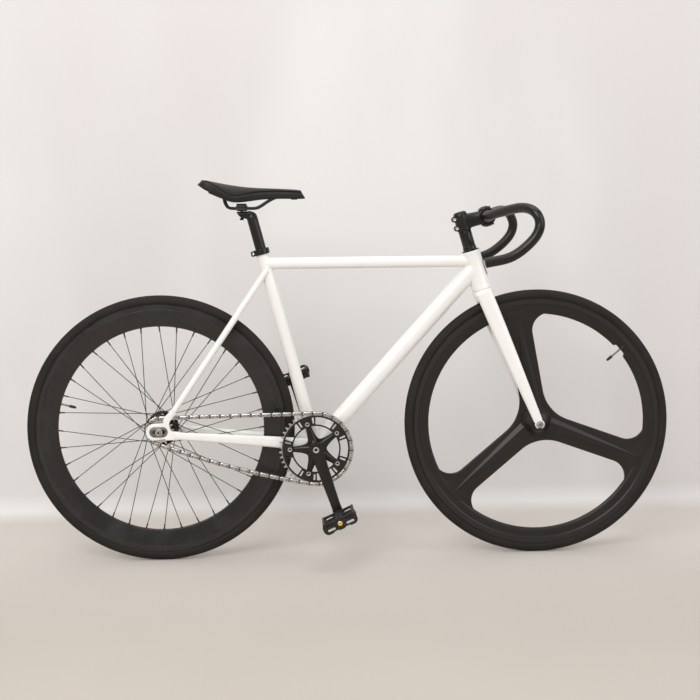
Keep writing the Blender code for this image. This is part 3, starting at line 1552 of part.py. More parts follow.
def crank_arm(angle):
    """A left-hand crank arm, flat-sided and splayed outwards to its pedal eye."""
    out = Vector((cos(angle), 0, sin(angle)))
    flat = Vector((-sin(angle), 0, cos(angle)))
    rings = []
    stations = ((-0.006, 0, 1.0, 1.0), (0.035, 0.0005, 1.0, 1.0), (0.110, 0.65, 0.90, 0.92), (1, 1, 0.88, 1.0))
    for along, splay, narrow, thin in stations:
        reach = crank_length if along == 1 else along
        share = max(reach, 0) / crank_length
        wide = crank_arm_half_width_root + (crank_arm_half_width_tip - crank_arm_half_width_root) * share
        inner = crank_arm_inner + crank_arm_splay * splay
        middle = inner + crank_arm_thickness / 2
        centre = bottom_bracket + out * reach + along_y * middle
        rings.append(oval(centre, flat * wide * narrow / 0.9, along_y * crank_arm_thickness / 2 * thin, 4.0, 8))
    arm = loft(rings)
    eye = bottom_bracket + out * crank_length
    eye_inner = crank_arm_inner + crank_arm_splay
    boss = rod(eye + along_y * (eye_inner + 0.0002), eye + along_y * (eye_inner + crank_arm_thickness - 0.0002),
               crank_arm_half_width_tip + 0.0010, facets=12)
    root = turned(bottom_bracket, along_y, [
        (crank_boss_inner, 0), (crank_boss_inner, crank_boss_radius - 0.003),
        (crank_arm_inner, crank_boss_radius),
        (crank_arm_inner + crank_arm_thickness - 0.0010, crank_boss_radius),
        (crank_arm_inner + crank_arm_thickness, crank_boss_radius - 0.002),
        (crank_arm_inner + crank_arm_thickness, 0),
    ])
    spindle_hole = rod(bottom_bracket + along_y * 0.030,
                       bottom_bracket + along_y * (crank_boss_inner + 0.018 + seat_gap),
                       spindle_radius + seat_gap, facets=spindle_facets)
    pedal_hole = rod(eye + along_y * 0.040, eye + along_y * 0.090,
                     pedal_spindle_radius + seat_gap, facets=small_facets)
    return arm, [boss, root], [spindle_hole, pedal_hole]


def spider_outline():
    """Five arms from the crank's boss to the ring's bolts, with round tips and filleted roots."""
    outline = []
    centre = (bottom_bracket.x, bottom_bracket.z)
    for k in range(5):
        angle = crank_angle + pi / 5 + 2 * pi * k / 5
        tip = (centre[0] + bolt_circle_radius * cos(angle), centre[1] + bolt_circle_radius * sin(angle))
        outline += arc(tip, spider_tip_radius, angle - pi / 2, angle + pi / 2, 4)
        for reach, spread in ((0.040, 0.0085), (0.026, 0.0120)):
            outline.append((centre[0] + reach * cos(angle) - spread * sin(angle),
                            centre[1] + reach * sin(angle) + spread * cos(angle)))
        ahead = angle + 2 * pi / 5
        for reach, spread in ((0.026, 0.0120), (0.040, 0.0085)):
            outline.append((centre[0] + reach * cos(ahead) + spread * sin(ahead),
                            centre[1] + reach * sin(ahead) - spread * cos(ahead)))
    return outline


def make_cranks(body):
    arm, added, cut = crank_arm(crank_angle + pi)
    piece("crank_left", combined(arm, added, cut), "black_alloy", body)
    arm, added, cut = crank_arm(crank_angle)
    low = -chain_line + tooth_thickness / 2 + seat_gap
    spider = plate(spider_outline(), [], low, low + spider_thickness)
    bolt_holes = []
    for k in range(5):
        angle = crank_angle + pi / 5 + 2 * pi * k / 5
        place = bottom_bracket + bolt_circle_radius * Vector((cos(angle), 0, sin(angle)))
        bolt_holes.append(rod(place - along_y * 0.070, place - along_y * 0.030,
                              ring_bolt_stem_radius + running_gap, facets=tiny_facets))
        face = -chain_line - tooth_thickness / 2 - seat_gap
        bolt = turned(place, along_y, [
            (face - ring_bolt_head, 0), (face - ring_bolt_head, ring_bolt_radius), (face, ring_bolt_radius),
            (face, ring_bolt_stem_radius), (low + spider_thickness + seat_gap, ring_bolt_stem_radius),
            (low + spider_thickness + seat_gap, 0),
        ], tiny_facets)
        piece("chainring_bolt_%d" % (k + 1), bolt, "steel", body)
    right = combined(mirrored(arm), [mirrored(m) for m in added] + [spider],
                     [mirrored(m) for m in cut] + [joined(bolt_holes)])
    piece("crank_right", right, "black_alloy", body)
    face = crank_arm_inner + crank_arm_thickness + seat_gap
    for side, name in ((-1, "crank_bolt_right"), (1, "crank_bolt_left")):
        bolt = turned(bottom_bracket, along_y * side, [
            (face, 0), (face, crank_bolt_radius), (face + crank_bolt_height, crank_bolt_radius - 0.001),
            (face + crank_bolt_height, 0),
        ], small_facets)
        piece(name, bolt, "steel", body)


def pedal_axis(side):
    """The pedal's centre line where it leaves the crank, on the left (1) or right (-1)."""
    angle = crank_angle if side < 0 else crank_angle + pi
    return bottom_bracket + crank_length * Vector((cos(angle), 0, sin(angle)))


pedal_slot_half = 0.0095
pedal_slot_rise = 0.0028
pedal_slot_out = 0.56
pedal_slot_up = 0.36
pedal_rail_width = 0.0060
pedal_rail_height = 0.0056


def make_pedal(side, name, crank_body, body):
    axis_point = pedal_axis(side)
    face = crank_arm_inner + crank_arm_splay + crank_arm_thickness
    start = face + pedal_from_crank
    end = start + pedal_width
    spindle = turned(axis_point, along_y * side, [
        (face - crank_arm_thickness + 0.0010, 0), (face - crank_arm_thickness + 0.0010, pedal_spindle_radius),
        (face + seat_gap, pedal_spindle_radius), (face + seat_gap, pedal_collar_radius),
        (start - running_gap, pedal_collar_radius), (start - running_gap, pedal_axle_radius),
        (end - pedal_axle_short, pedal_axle_radius), (end - pedal_axle_short, 0),
    ], small_facets)
    piece("pedal_spindle_" + name, spindle, "steel", crank_body)

    half = pedal_length / 2
    tall = pedal_height / 2
    forward = Vector((cos(pedal_tilt), 0, sin(pedal_tilt)))
    upward = Vector((-sin(pedal_tilt), 0, cos(pedal_tilt)))

    def at(x, z):
        spot = axis_point + forward * x + upward * z
        return spot.x, spot.z

    outline = []
    for edge in (-1, 1):
        for k in range(pedal_teeth):
            centre = edge * (pedal_length * (k + 0.5) / pedal_teeth - half)
            for x in (-0.0090, -0.0045, 0.0045, 0.0090):
                rise = tall if abs(x) < 0.0060 else tall - pedal_tooth_height
                outline.append(at(-centre - x * edge, edge * rise))
        outline += [at(-edge * half, edge * tall * 0.5), at(-edge * half, -edge * tall * 0.5)]
    slots = []
    for x_side in (-1, 1):
        for z_side in (-1, 1):
            x, z = x_side * half * pedal_slot_out, z_side * tall * pedal_slot_up
            corners = ((-1, -1), (1, -1), (1, 1), (-1, 1))
            slots.append([at(x + a * pedal_slot_half, z + b * pedal_slot_rise) for a, b in corners])
    sign = side
    low, high = sorted((sign * (end - pedal_plate), sign * end))
    end_plate = plate(outline, slots, low, high)
    inner_half = half * 0.94
    rails = []
    for x_side in (-1, 1):
        for z_side in (-1, 1):
            middle = axis_point + forward * x_side * (inner_half - 0.0030) + upward * z_side * (tall - 0.0061)
            middle += along_y * sign * (start + end) / 2
            rails.append(block(middle, forward, upward, pedal_rail_width, pedal_width - 0.0010,
                               pedal_rail_height))
    inner_plate = block(axis_point + along_y * sign * (start + pedal_plate / 2), forward, upward,
                        inner_half * 2 - 0.0008, pedal_plate, pedal_height - 0.0075)
    barrel = turned(axis_point, along_y * side, [
        (start + 0.0007, 0), (start + 0.0007, pedal_barrel_radius), (end - 0.0007, pedal_barrel_radius),
        (end - 0.0007, 0),
    ], small_facets, pi / small_facets)
    bore = rod(axis_point + along_y * sign * (start - 0.01),
               axis_point + along_y * sign * (end - pedal_axle_short + seat_gap),
               clear_radius(pedal_axle_radius, running_gap, small_facets), facets=small_facets)
    cap_hole = rod(axis_point + along_y * sign * (end - 0.0040), axis_point + along_y * sign * (end + 0.01),
                   pedal_cap_radius + seat_gap, facets=small_facets)
    body_mesh = combined(barrel, [end_plate, inner_plate] + rails, [bore, cap_hole])
    piece("pedal_" + name, body_mesh, "black_plastic", body)
    cap = turned(axis_point, along_y * side, [
        (end - 0.0037, 0), (end - 0.0037, pedal_cap_radius), (end + 0.0004, pedal_cap_radius),
        (end + 0.0012, pedal_cap_radius * 0.7), (end + 0.0012, 0),
    ], small_facets)
    piece("pedal_cap_" + name, cap, "brass", body)


# Assembly
for old in list(bpy.data.objects):
    bpy.data.objects.remove(old)
materials = {name: finish(name, *values) for name, values in finishes.items()}

frame_body = carrier("frame_body", Vector((0, 0, 0)))
post_body = carrier("post_body", seat_top, frame_body)
steering_body = carrier("steering_body", head_bottom, frame_body)
front_wheel_body = carrier("front_wheel_body", front_axle, steering_body)
rear_wheel_body = carrier("rear_wheel_body", rear_axle, frame_body)
crank_body = carrier("crank_body", bottom_bracket, frame_body)
pedal_right_body = carrier("pedal_right_body", pedal_axis(-1), crank_body)
pedal_left_body = carrier("pedal_left_body", pedal_axis(1), crank_body)

pins, (lower_start, lower_end, lower_links), spare, cog_turn = chain_pins(rear_axle.x)
all_pins = pins + sagging_pins(lower_start, lower_end, lower_links)
ring_first = pins[-1] - Vector((bottom_bracket.x, bottom_bracket.z))

make_frame(frame_body)
make_badge(frame_body)
make_track_end_fittings(frame_body)
make_seat_collar(frame_body)
make_seat(post_body)
make_fork(steering_body)
make_headset(frame_body, steering_body)
make_stem(steering_body)
make_bar(steering_body)
make_front_axle(steering_body)
make_front_wheel(front_wheel_body)
make_rear_wheel(rear_wheel_body)
make_cog(rear_wheel_body, cog_turn)
make_bottom_bracket(frame_body, crank_body)
make_cranks(crank_body)
make_chainring(crank_body, atan2(ring_first.y, ring_first.x))
make_chain(frame_body, all_pins)
make_pedal(-1, "right", crank_body, pedal_right_body)
make_pedal(1, "left", crank_body, pedal_left_body)

print("chain links", len(all_pins), "spare in the lower run", round(spare * 1000, 3), "mm")
print("rear axle from its drawn place", round((rear_axle.x - frame_rear_axle_x) * 1000, 2), "mm")
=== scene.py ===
# A single-speed track bicycle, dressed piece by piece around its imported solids.
# Metres, +X forward, +Y to the rider's left, +Z up. The chain is on -Y.
from math import asin, atan2, cos, floor, pi, radians, sin, sqrt

import bmesh
import bpy
import numpy as np
from mathutils import Matrix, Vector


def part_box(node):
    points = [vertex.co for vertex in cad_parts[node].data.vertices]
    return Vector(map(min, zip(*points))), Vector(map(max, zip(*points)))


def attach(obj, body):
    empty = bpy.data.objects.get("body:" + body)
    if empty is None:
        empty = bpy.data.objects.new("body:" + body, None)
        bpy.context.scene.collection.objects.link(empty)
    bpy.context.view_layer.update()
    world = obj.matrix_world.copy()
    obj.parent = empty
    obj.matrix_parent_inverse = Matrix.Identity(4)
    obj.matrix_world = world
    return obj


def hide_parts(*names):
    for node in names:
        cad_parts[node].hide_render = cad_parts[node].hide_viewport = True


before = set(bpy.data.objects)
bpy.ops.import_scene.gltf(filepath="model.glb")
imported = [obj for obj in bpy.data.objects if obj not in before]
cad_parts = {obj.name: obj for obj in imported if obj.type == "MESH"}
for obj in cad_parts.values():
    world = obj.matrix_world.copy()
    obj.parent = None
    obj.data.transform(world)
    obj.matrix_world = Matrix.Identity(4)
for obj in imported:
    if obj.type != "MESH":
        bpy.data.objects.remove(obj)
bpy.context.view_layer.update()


# Places. Axles come from the solids, the rest from the bicycle's own geometry.

def point(x, y, z):
    return np.array([x, y, z], float)


def unit(v):
    return v / np.linalg.norm(v)


# The direction at an angle over +X in the bicycle's plane, and the one a quarter turn on.
def polar(angle):
    return point(cos(angle), 0, sin(angle)), point(-sin(angle), 0, cos(angle))


# Rows of millimetres as metres. The last columns can be plain numbers.
def mm(*rows, plain=0):
    rows = np.array(rows, float)
    rows[:, : rows.shape[1] - plain] /= 1000
    return rows


def middleOf(node):
    return np.mean(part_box(node), 0)


alongY, alongZ = point(0, 1, 0), point(0, 0, 1)
rearAxle, frontAxle = middleOf("rear_tyre"), middleOf("front_tyre")
bottomBracket = middleOf("crank_spindle")
headAxis, headBack = polar(radians(180 - 74.1))
seatAxis, seatBack = polar(radians(180 - 75.5))
geometry = dict(
    wheelRadius=0.334, forkRake=0.0391, forkLength=0.3608, headTube=0.1, seatTube=0.508, chainstay=0.39,
    rearAxleX=-0.4725, trackEndY=0.06355, forkEndY=0.05355,
)
headBottom = frontAxle + geometry["forkRake"] * headBack + geometry["forkLength"] * headAxis
headTop = headBottom + geometry["headTube"] * headAxis
seatTop = bottomBracket + geometry["seatTube"] * seatAxis


# Meshes: points on grids, put together as one closed skin or several in one piece.

class Shape:
    def __init__(self):
        self.points, self.faces, self.count = [], [], 0

    # Loose points and faces that are numbered from nought.
    def add(self, points, faces):
        self.points.append(np.asarray(points, float).reshape(-1, 3))
        self.faces += [[self.count + i for i in face] for face in faces]
        self.count += len(self.points[-1])
        return self

    # A grid of points: neighbours joined by quads, the ends of its rows or columns joined or capped.
    def grid(self, points, wrapRows=False, wrapCols=True, capped=True):
        rows, cols = points.shape[:2]
        r = np.arange(rows if wrapRows else rows - 1)[:, None]
        c = np.arange(cols if wrapCols else cols - 1)[None, :]
        down, right = (r + 1) % rows, (c + 1) % cols
        quads = np.stack([r * cols + c, r * cols + right, down * cols + right, down * cols + c], -1)
        faces = quads.reshape(-1, 4).tolist()
        if capped and wrapCols and not wrapRows:
            last = rows * cols - 1
            faces += [list(range(cols)), list(range(last, last - cols, -1))]
        return self.add(points, faces)

    # A shape again for each matrix of a stack.
    def copies(self, shape, turns, shifts):
        for turn, shift in zip(turns, shifts):
            self.add(np.vstack(shape.points) @ turn.T + shift, shape.faces)
        return self

    # The other side's copy of everything so far.
    def mirrored(self):
        return Shape().add(np.vstack(self.points) * point(1, -1, 1), [face[::-1] for face in self.faces])


# Two directions square to an axis and to each other.
def across(axis):
    side = alongY if abs(axis[1]) < 0.9 else point(1, 0, 0)
    second = unit(np.cross(axis, side))
    return unit(np.cross(second, axis)), second


# Directions round an axis: cosine and sine of equal turns carry the two that are square to it.
def spin(axis, steps):
    first, second = across(axis)
    angle = np.linspace(0, 2 * pi, steps, endpoint=False)[:, None]
    return np.cos(angle) * first + np.sin(angle) * second


# Surface of revolution: rows of place along the axis and radius, and the second parameter is the turn.
# A third number bends a row from round, 0, to six-sided, 1, with the radius at the corners.
def lathe(rows, centre, axis, steps=64):
    rows = np.asarray(rows, float)
    radius = rows[:, 1:2]
    if rows.shape[1] == 3:
        angle = np.linspace(0, 2 * pi, steps, endpoint=False)
        radius = radius * (1 + rows[:, 2:] * (cos(pi / 6) / np.cos(angle % (pi / 3) - pi / 6) - 1))
    return centre + rows[:, None, :1] * axis + radius[..., None] * spin(axis, steps)


# A turned piece whose profile closes on itself, and one whose profile ends on the axis.
def ring(rows, centre, axis, steps=64):
    return Shape().grid(lathe(rows, centre, axis, steps), wrapRows=True)


def plug(rows, centre, axis, steps=24):
    return Shape().grid(lathe(rows, centre, axis, steps), capped=False)


# Catmull-Rom curve through the rows of an array, each gap in equal steps.
def smoothRows(rows, steps):
    rows = np.asarray(rows, float)
    ends = np.vstack([2 * rows[0] - rows[1], rows, 2 * rows[-1] - rows[-2]])
    a, b, c, d = (ends[k : k + len(rows) - 1, None] for k in range(4))
    t = np.linspace(0, 1, steps, endpoint=False)[None, :, None]
    curve = 0.5 * (2 * b + (c - a) * t + (2 * a - 5 * b + 4 * c - d) * t**2 + (3 * b - a - 3 * c + d) * t**3)
    return np.vstack([curve.reshape(-1, rows.shape[1]), rows[-1:]])


# Smoothstep: 3 t squared less 2 t cubed, with t kept from 0 to 1.
def eases(t):
    t = np.clip(t, 0, 1)
    return t * t * (3 - 2 * t)


# The rows of an array, each at unit length.
def units(rows):
    return rows / np.linalg.norm(rows, axis=-1, keepdims=True)


# Superellipses of half sizes a and b along two directions: cosine and sine of the turn, with their
# powers bent by squareness, stood on the points of a path.
def sections(path, first, a, second, b, squareness=2.0, steps=40):
    angle = np.linspace(0, 2 * pi, steps, endpoint=False)
    c, s = np.cos(angle), np.sin(angle)
    power = 2 / np.asarray(squareness, float)[..., None]
    a = np.reshape(a, (-1, 1)) * np.sign(c) * np.abs(c) ** power
    b = np.reshape(b, (-1, 1)) * np.sign(s) * np.abs(s) ** power
    return path[:, None] + a[..., None] * first + b[..., None] * second


# The same carried along a path, square to its run, with above kept near up.
def sweep(path, half, tall, squareness=2.0, steps=32, up=None):
    run = units(np.gradient(path, axis=0))
    side = units(np.cross(run, across(run[0])[0] if up is None else up))
    above = np.cross(side, run)
    return sections(path, side[:, None], half, above[:, None], tall, squareness, steps)


def straight(start, end, count):
    return start + (end - start) * np.linspace(0, 1, count)[:, None]


# A flat plate in the XZ plane: outline and holes filled, thickness along Y, edges rounded by bevel.
def plate(loops, low, high, bevel, shape=None, place=None):
    curve = bpy.data.curves.new("plate", "CURVE")
    curve.dimensions = "2D"
    curve.fill_mode = "BOTH"
    curve.extrude = (high - low) / 2 - bevel
    curve.bevel_depth = bevel
    curve.bevel_resolution = 1
    curve.offset = -bevel
    for loop in loops:
        spline = curve.splines.new("POLY")
        spline.points.add(len(loop) - 1)
        spline.points.foreach_set("co", np.hstack([loop, np.tile([0.0, 1.0], (len(loop), 1))]).ravel())
        spline.use_cyclic_u = True
    holder = bpy.data.objects.new("plate", curve)
    bpy.context.scene.collection.objects.link(holder)
    mesh = bpy.data.meshes.new_from_object(holder.evaluated_get(bpy.context.evaluated_depsgraph_get()))
    co = np.array([vertex.co for vertex in mesh.vertices])
    made = np.column_stack([co[:, 0], (low + high) / 2 - co[:, 2], co[:, 1]])
    shape = Shape() if shape is None else shape
    shape.add(made if place is None else place(made), [list(face.vertices) for face in mesh.polygons])
    bpy.data.objects.remove(holder)
    bpy.data.curves.remove(curve)
    bpy.data.meshes.remove(mesh)
    return shape


# Outlines in the XZ plane: an arc, a circle, and a slot with round ends that lies along X.
def arc(centre, radius, start, end, steps):
    angle = np.linspace(start, end, steps + 1)
    return np.column_stack([centre[0] + radius * np.cos(angle), centre[1] + radius * np.sin(angle)])


def circle(centre, radius, steps=32):
    return arc(centre, radius, 0, 2 * pi, steps)[:-1]


def slotLoop(x, z, length, height, steps=14):
    reach = (length - height) / 2
    right = arc((x + reach, z), height / 2, -pi / 2, pi / 2, steps)
    return np.vstack([right, arc((x - reach, z), height / 2, pi / 2, 3 * pi / 2, steps)])


# A closed loop with its corners rounded by a curve that starts and ends at the same reach from each.
def softened(loop, reach, steps=5):
    loop = np.asarray(loop, float)
    before, after = np.roll(loop, 1, 0) - loop, np.roll(loop, -1, 0) - loop
    sizes = [np.linalg.norm(way, axis=1) for way in (before, after)]
    cut = np.minimum(reach, 0.45 * np.minimum(*sizes))[:, None]
    a, b = (loop + way / size[:, None] * cut for way, size in zip((before, after), sizes))
    t = np.linspace(0, 1, steps + 1)[None, :, None]
    curve = (1 - t) ** 2 * a[:, None] + 2 * t * (1 - t) * loop[:, None] + t**2 * b[:, None]
    return curve.reshape(-1, 2)


# A lathe profile with a small round at each corner, so that no turned edge is knife sharp.
def eased(rows, reach=0.0005, steps=2):
    rows = np.asarray(rows, float)
    middle = softened(rows, reach, steps).reshape(len(rows), -1, 2)[1:-1].reshape(-1, 2)
    return np.vstack([rows[:1], middle, rows[-1:]])


# Makes the piece, closes its seams, turns its faces outwards and says where it belongs.
def piece(name, shape, body, look, *nodes, slot=None, smooth=34, merge=1e-6, subdivide=0):
    mesh = bpy.data.meshes.new(name)
    mesh.from_pydata(np.vstack(shape.points).tolist(), [], shape.faces)
    work = bmesh.new()
    work.from_mesh(mesh)
    bmesh.ops.remove_doubles(work, verts=work.verts, dist=merge)
    bmesh.ops.recalc_face_normals(work, faces=work.faces)
    work.to_mesh(mesh)
    work.free()
    mesh.materials.append(paints[look])
    mesh.shade_smooth()
    mesh.set_sharp_from_angle(angle=radians(smooth))
    made = bpy.data.objects.new(name, mesh)
    bpy.context.scene.collection.objects.link(made)
    if subdivide:
        change = made.modifiers.new("smoothed", "SUBSURF")
        change.levels = change.render_levels = subdivide
    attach(made, body)
    if nodes:
        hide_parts(*nodes)
    return made


def pair(name, shape, body, look, *nodes):
    piece(name + "_left", shape, body, look, *nodes)
    piece(name + "_right", shape.mirrored(), body, look, *nodes)


# Materials. A Wire is a socket that takes part in arithmetic: each operator adds a Math node.

class Wire:
    def __init__(self, paint, socket):
        self.paint, self.socket = paint, socket

    def __add__(self, other):
        return self.paint.maths("ADD", self, other)

    def __sub__(self, other):
        return self.paint.maths("SUBTRACT", self, other)

    def __rsub__(self, other):
        return self.paint.maths("SUBTRACT", other, self)

    def __mul__(self, other):
        return self.paint.maths("MULTIPLY", self, other)

    __radd__ = __add__
    __rmul__ = __mul__


class Paint:
    def __init__(self, name, colour, roughness, **shader):
        self.material = bpy.data.materials.new(name)
        self.material.use_nodes = True
        self.tree = self.material.node_tree
        self.shader = self.tree.nodes["Principled BSDF"]
        for key, value in dict(Base_Color=colour, Roughness=roughness, **shader).items():
            self.put(key.replace("_", " "), value)

    # Any node: its type, its settings, values or links for its sockets, and which output is wanted.
    def node(self, kind, settings, sockets, out=0):
        made = self.tree.nodes.new("ShaderNode" + kind)
        for key, value in settings.items():
            setattr(made, key, value)
        for key, value in sockets.items():
            self.feed(made.inputs[key], value)
        return Wire(self, made.outputs[out])

    def feed(self, socket, value):
        if isinstance(value, Wire):
            self.tree.links.new(value.socket, socket)
        else:
            socket.default_value = (*value, 1) if socket.type == "RGBA" else value

    def maths(self, operation, *values):
        return self.node("Math", dict(operation=operation), dict(enumerate(values)))

    def put(self, name, value):
        self.feed(self.shader.inputs[name], value)

    # Object coordinates from a centre; and their three numbers, with the distance from the Y axis.
    def place(self, centre=(0, 0, 0)):
        where = self.node("TexCoord", {}, {}, "Object")
        return self.node("VectorMath", dict(operation="SUBTRACT"), {0: where, 1: tuple(centre)})

    def parts(self, vector):
        made = self.node("SeparateXYZ", {}, {"Vector": vector}).socket.node
        x, y, z = (Wire(self, made.outputs[k]) for k in range(3))
        return x, y, z, self.maths("SQRT", x * x + z * z)

    def noise(self, vector, scale, detail=3.0, rough=0.5):
        sockets = {"Vector": vector, "Scale": scale, "Detail": detail, "Roughness": rough}
        return self.node("TexNoise", {}, sockets)

    # Runs smoothly from 0 to 1 between two limits; and up and down again between four.
    def step(self, value, low, high):
        sockets = {"Value": value, "From Min": low, "From Max": high}
        return self.node("MapRange", dict(interpolation_type="SMOOTHSTEP"), sockets)

    def band(self, value, base, *limits):
        a, b, c, d = (base + limit for limit in limits)
        return self.step(value, a, b) * (1 - self.step(value, c, d))

    def mix(self, factor, first, second):
        return self.node("Mix", dict(data_type="RGBA"), {0: factor, 6: first, 7: second}, 2)

    # The last touches: colour and roughness, and a bump where one is wanted.
    def dress(self, colour, roughness, height=None, strength=0, distance=0):
        self.put("Base Color", colour)
        self.put("Roughness", roughness)
        if height is not None:
            sockets = {"Height": height, "Strength": strength, "Distance": distance}
            self.put("Normal", self.node("Bump", {}, sockets))
        return self.material


print("helpers ready")


# Finishes.

def whitePaint():
    look = dict(colour=(0.9, 0.885, 0.855), dust=(0.74, 0.71, 0.66))
    paint = Paint("white_paint_gloss", look["colour"], 0.28, Coat_Weight=0.45, Coat_Roughness=0.08)
    where = paint.place()
    cloud = paint.noise(where, 9.0, 4)
    low = 1 - paint.step(paint.parts(where)[2], 0.22, 0.5)
    grime = paint.step(paint.noise(where, 55.0, 5, 0.6) * 0.6 + cloud * 0.4 + low * 0.1, 0.54, 0.74)
    tone = paint.mix(grime * 0.3, look["colour"], look["dust"])
    return paint.dress(tone, 0.24 + cloud * 0.1 + grime * 0.2,
                       paint.noise(where, 420.0, 2) * 0.7 + cloud * 0.3, 0.05, 0.0004)


def anodised(name, roughness):
    look = dict(colour=(0.0105, 0.0092, 0.0082), pale=(0.0168, 0.01472, 0.01312), worn=(0.06, 0.055, 0.05))
    paint = Paint(name, look["colour"], roughness, Specular_IOR_Level=0.36)
    where = paint.place()
    grain, cloud = paint.noise(where, 900.0, 3, 0.6), paint.noise(where, 26.0, 4)
    rub = paint.step(paint.noise(where, 140.0, 6, 0.7), 0.63, 0.8)
    tone = paint.mix(rub * 0.45, paint.mix(cloud * 0.5, look["colour"], look["pale"]), look["worn"])
    return paint.dress(tone, roughness - 0.04 + cloud * 0.14 + grain * 0.06, grain, 0.12, 0.0002)


# The chainring is black on its face; its teeth and the turned edge under them are bare alloy.
def ringBlack():
    look = dict(colour=(0.0105, 0.0092, 0.0082), bare=(0.56, 0.54, 0.51), edge=0.0839)
    paint = Paint("chainring_black", look["colour"], 0.28, Specular_IOR_Level=0.45)
    where = paint.place(bottomBracket)
    bare = paint.step(paint.parts(where)[3], look["edge"] - 0.0002, look["edge"] + 0.0003)
    oil = paint.noise(where, 70.0, 3)
    paint.put("Metallic", bare * 0.85)
    return paint.dress(paint.mix(bare * (1.0 - oil * 0.35), look["colour"], look["bare"]), 0.24 + oil * 0.16)


# Both wheels: a brake track with fine turned lines. A dark line just inside the track is painted shade of the
# groove at its inner edge.
def castBlack():
    look = dict(colour=(0.0095, 0.0072, 0.0056), pale=(0.016, 0.0128, 0.0105), track=(0.0165, 0.0135, 0.0115),
                line=(0.003, 0.0025, 0.002), inner=0.299)
    paint = Paint("cast_black_satin", look["colour"], 0.42, Specular_IOR_Level=0.3, Coat_Weight=0.22,
                  Coat_Roughness=0.26)
    where = paint.place(frontAxle)
    reach = paint.parts(where)[3]
    track = paint.band(reach, look["inner"], -0.0004, 0.0008, 0.0108, 0.0118)
    # Painted shade: a dark line just inside the brake track, where the groove at its edge falls into shade.
    grooveLine = paint.band(reach, look["inner"], -0.003, -0.0012, -0.0008, 0.0004)
    skin, cloud = paint.noise(where, 620.0, 4, 0.6), paint.noise(where, 7.0, 5, 0.55)
    tone = paint.mix(paint.step(cloud, 0.35, 0.75) * 0.7, look["colour"], look["pale"])
    tone = paint.mix(grooveLine * 0.8, paint.mix(track * 0.85, tone, look["track"]), look["line"])
    return paint.dress(tone, 0.33 + cloud * 0.14 + skin * 0.08 + track * 0.05,
                       skin + paint.maths("SINE", reach * 9000.0) * track * 0.25, 0.16, 0.0004)


def rimBlack():
    look = dict(colour=(0.0075, 0.0062, 0.0055), smear=(0.003, 0.0026, 0.0024), dusty=(0.013, 0.0112, 0.01),
                track=(0.012, 0.0105, 0.0096), inner=0.299)
    paint = Paint("rim_black_gloss", look["colour"], 0.3, Coat_Weight=0.2, Coat_Roughness=0.12)
    where = paint.place(rearAxle)
    smear = paint.step(paint.noise(where, 30.0, 4, 0.6), 0.56, 0.66)
    film = paint.step(paint.noise(where, 13.0, 5, 0.55), 0.42, 0.72)
    reach = paint.parts(where)[3]
    track = paint.band(reach, look["inner"], -0.0004, 0.0006, 0.0106, 0.0116)
    tone = paint.mix(smear * 0.8, paint.mix(film * 0.75, look["colour"], look["dusty"]), look["smear"])
    tone = paint.mix(track * 0.55, tone, look["track"])
    lines = paint.maths("SINE", reach * 9000.0) * track * 0.5
    return paint.dress(tone, 0.24 + film * 0.22 + smear * 0.12 + track * 0.08,
                       paint.noise(where, 500.0, 2) + lines, 0.05, 0.0003)


# Rubber round a wheel: its angle and its distance from the axle carry the tread and the moulded lines.
def tyreRubber(name, centre):
    look = dict(colour=(0.0125, 0.01, 0.0085), dusty=(0.036, 0.0315, 0.0275), treads=470, radius=0.334)
    paint = Paint(name, look["colour"], 0.72, Specular_IOR_Level=0.25)
    where = paint.place(centre)
    x, y, z, reach = paint.parts(where)
    turn, side = paint.maths("ARCTAN2", z, x), paint.maths("ABSOLUTE", y)
    crown = paint.step(reach, look["radius"] - 0.007, look["radius"] - 0.0035)
    herring = paint.maths("SINE", turn * look["treads"] + side * 900)
    tread = paint.step(herring, -0.55, -0.05) * crown * paint.step(side, 0.0009, 0.0016)
    lines = paint.maths("SINE", reach * 5200) * (1 - crown)
    fine = paint.noise(where, 700.0, 4, 0.65)
    dust = paint.step(paint.noise(where, 18.0, 5, 0.6) * 0.6 + fine * 0.4, 0.4, 0.7)
    return paint.dress(paint.mix(dust * 0.55, look["colour"], look["dusty"]), 0.62 + dust * 0.22,
                       tread + lines * 0.1 + fine * 0.35, 0.55, 0.0005)


def metal(name, colour, dark, roughness, grain=700.0, grime=0.4):
    paint = Paint(name, colour, roughness, Metallic=1.0)
    where = paint.place()
    fine = paint.noise(where, grain, 4, 0.6)
    stain = paint.step(paint.noise(where, 160.0, 5, 0.6), 0.5, 0.72)
    return paint.dress(paint.mix(stain * grime, colour, dark), roughness + fine * 0.12 + stain * 0.25,
                       fine, 0.08, 0.0002)


def saddleCover():
    look = dict(colour=(0.0085, 0.0074, 0.0066), shine=(0.015, 0.0132, 0.012))
    paint = Paint("saddle_cover_grained", look["colour"], 0.46, Specular_IOR_Level=0.38)
    where = paint.place()
    cells = paint.node("TexVoronoi", dict(feature="DISTANCE_TO_EDGE"), {"Vector": where, "Scale": 820.0})
    cloud, crease = paint.noise(where, 30.0, 4), paint.step(cells, 0.0, 0.22)
    return paint.dress(paint.mix(cloud * 0.6, look["colour"], look["shine"]),
                       0.36 + cloud * 0.12 + (1 - crease) * 0.14,
                       crease + paint.noise(where, 260.0, 3) * 0.5, 0.22, 0.0003)


def mouldedPlastic():
    look = dict(colour=(0.011, 0.0098, 0.009), scuffed=(0.07, 0.066, 0.062))
    paint = Paint("black_plastic_moulded", look["colour"], 0.44, Specular_IOR_Level=0.42)
    where = paint.place()
    fine = paint.noise(where, 1100.0, 3, 0.6)
    scuff = paint.step(paint.noise(where, 120.0, 6, 0.7), 0.58, 0.74)
    tone = paint.mix(scuff * 0.5, look["colour"], look["scuffed"])
    return paint.dress(tone, 0.4 + fine * 0.16 + scuff * 0.16, fine + scuff * 0.4, 0.18, 0.0002)


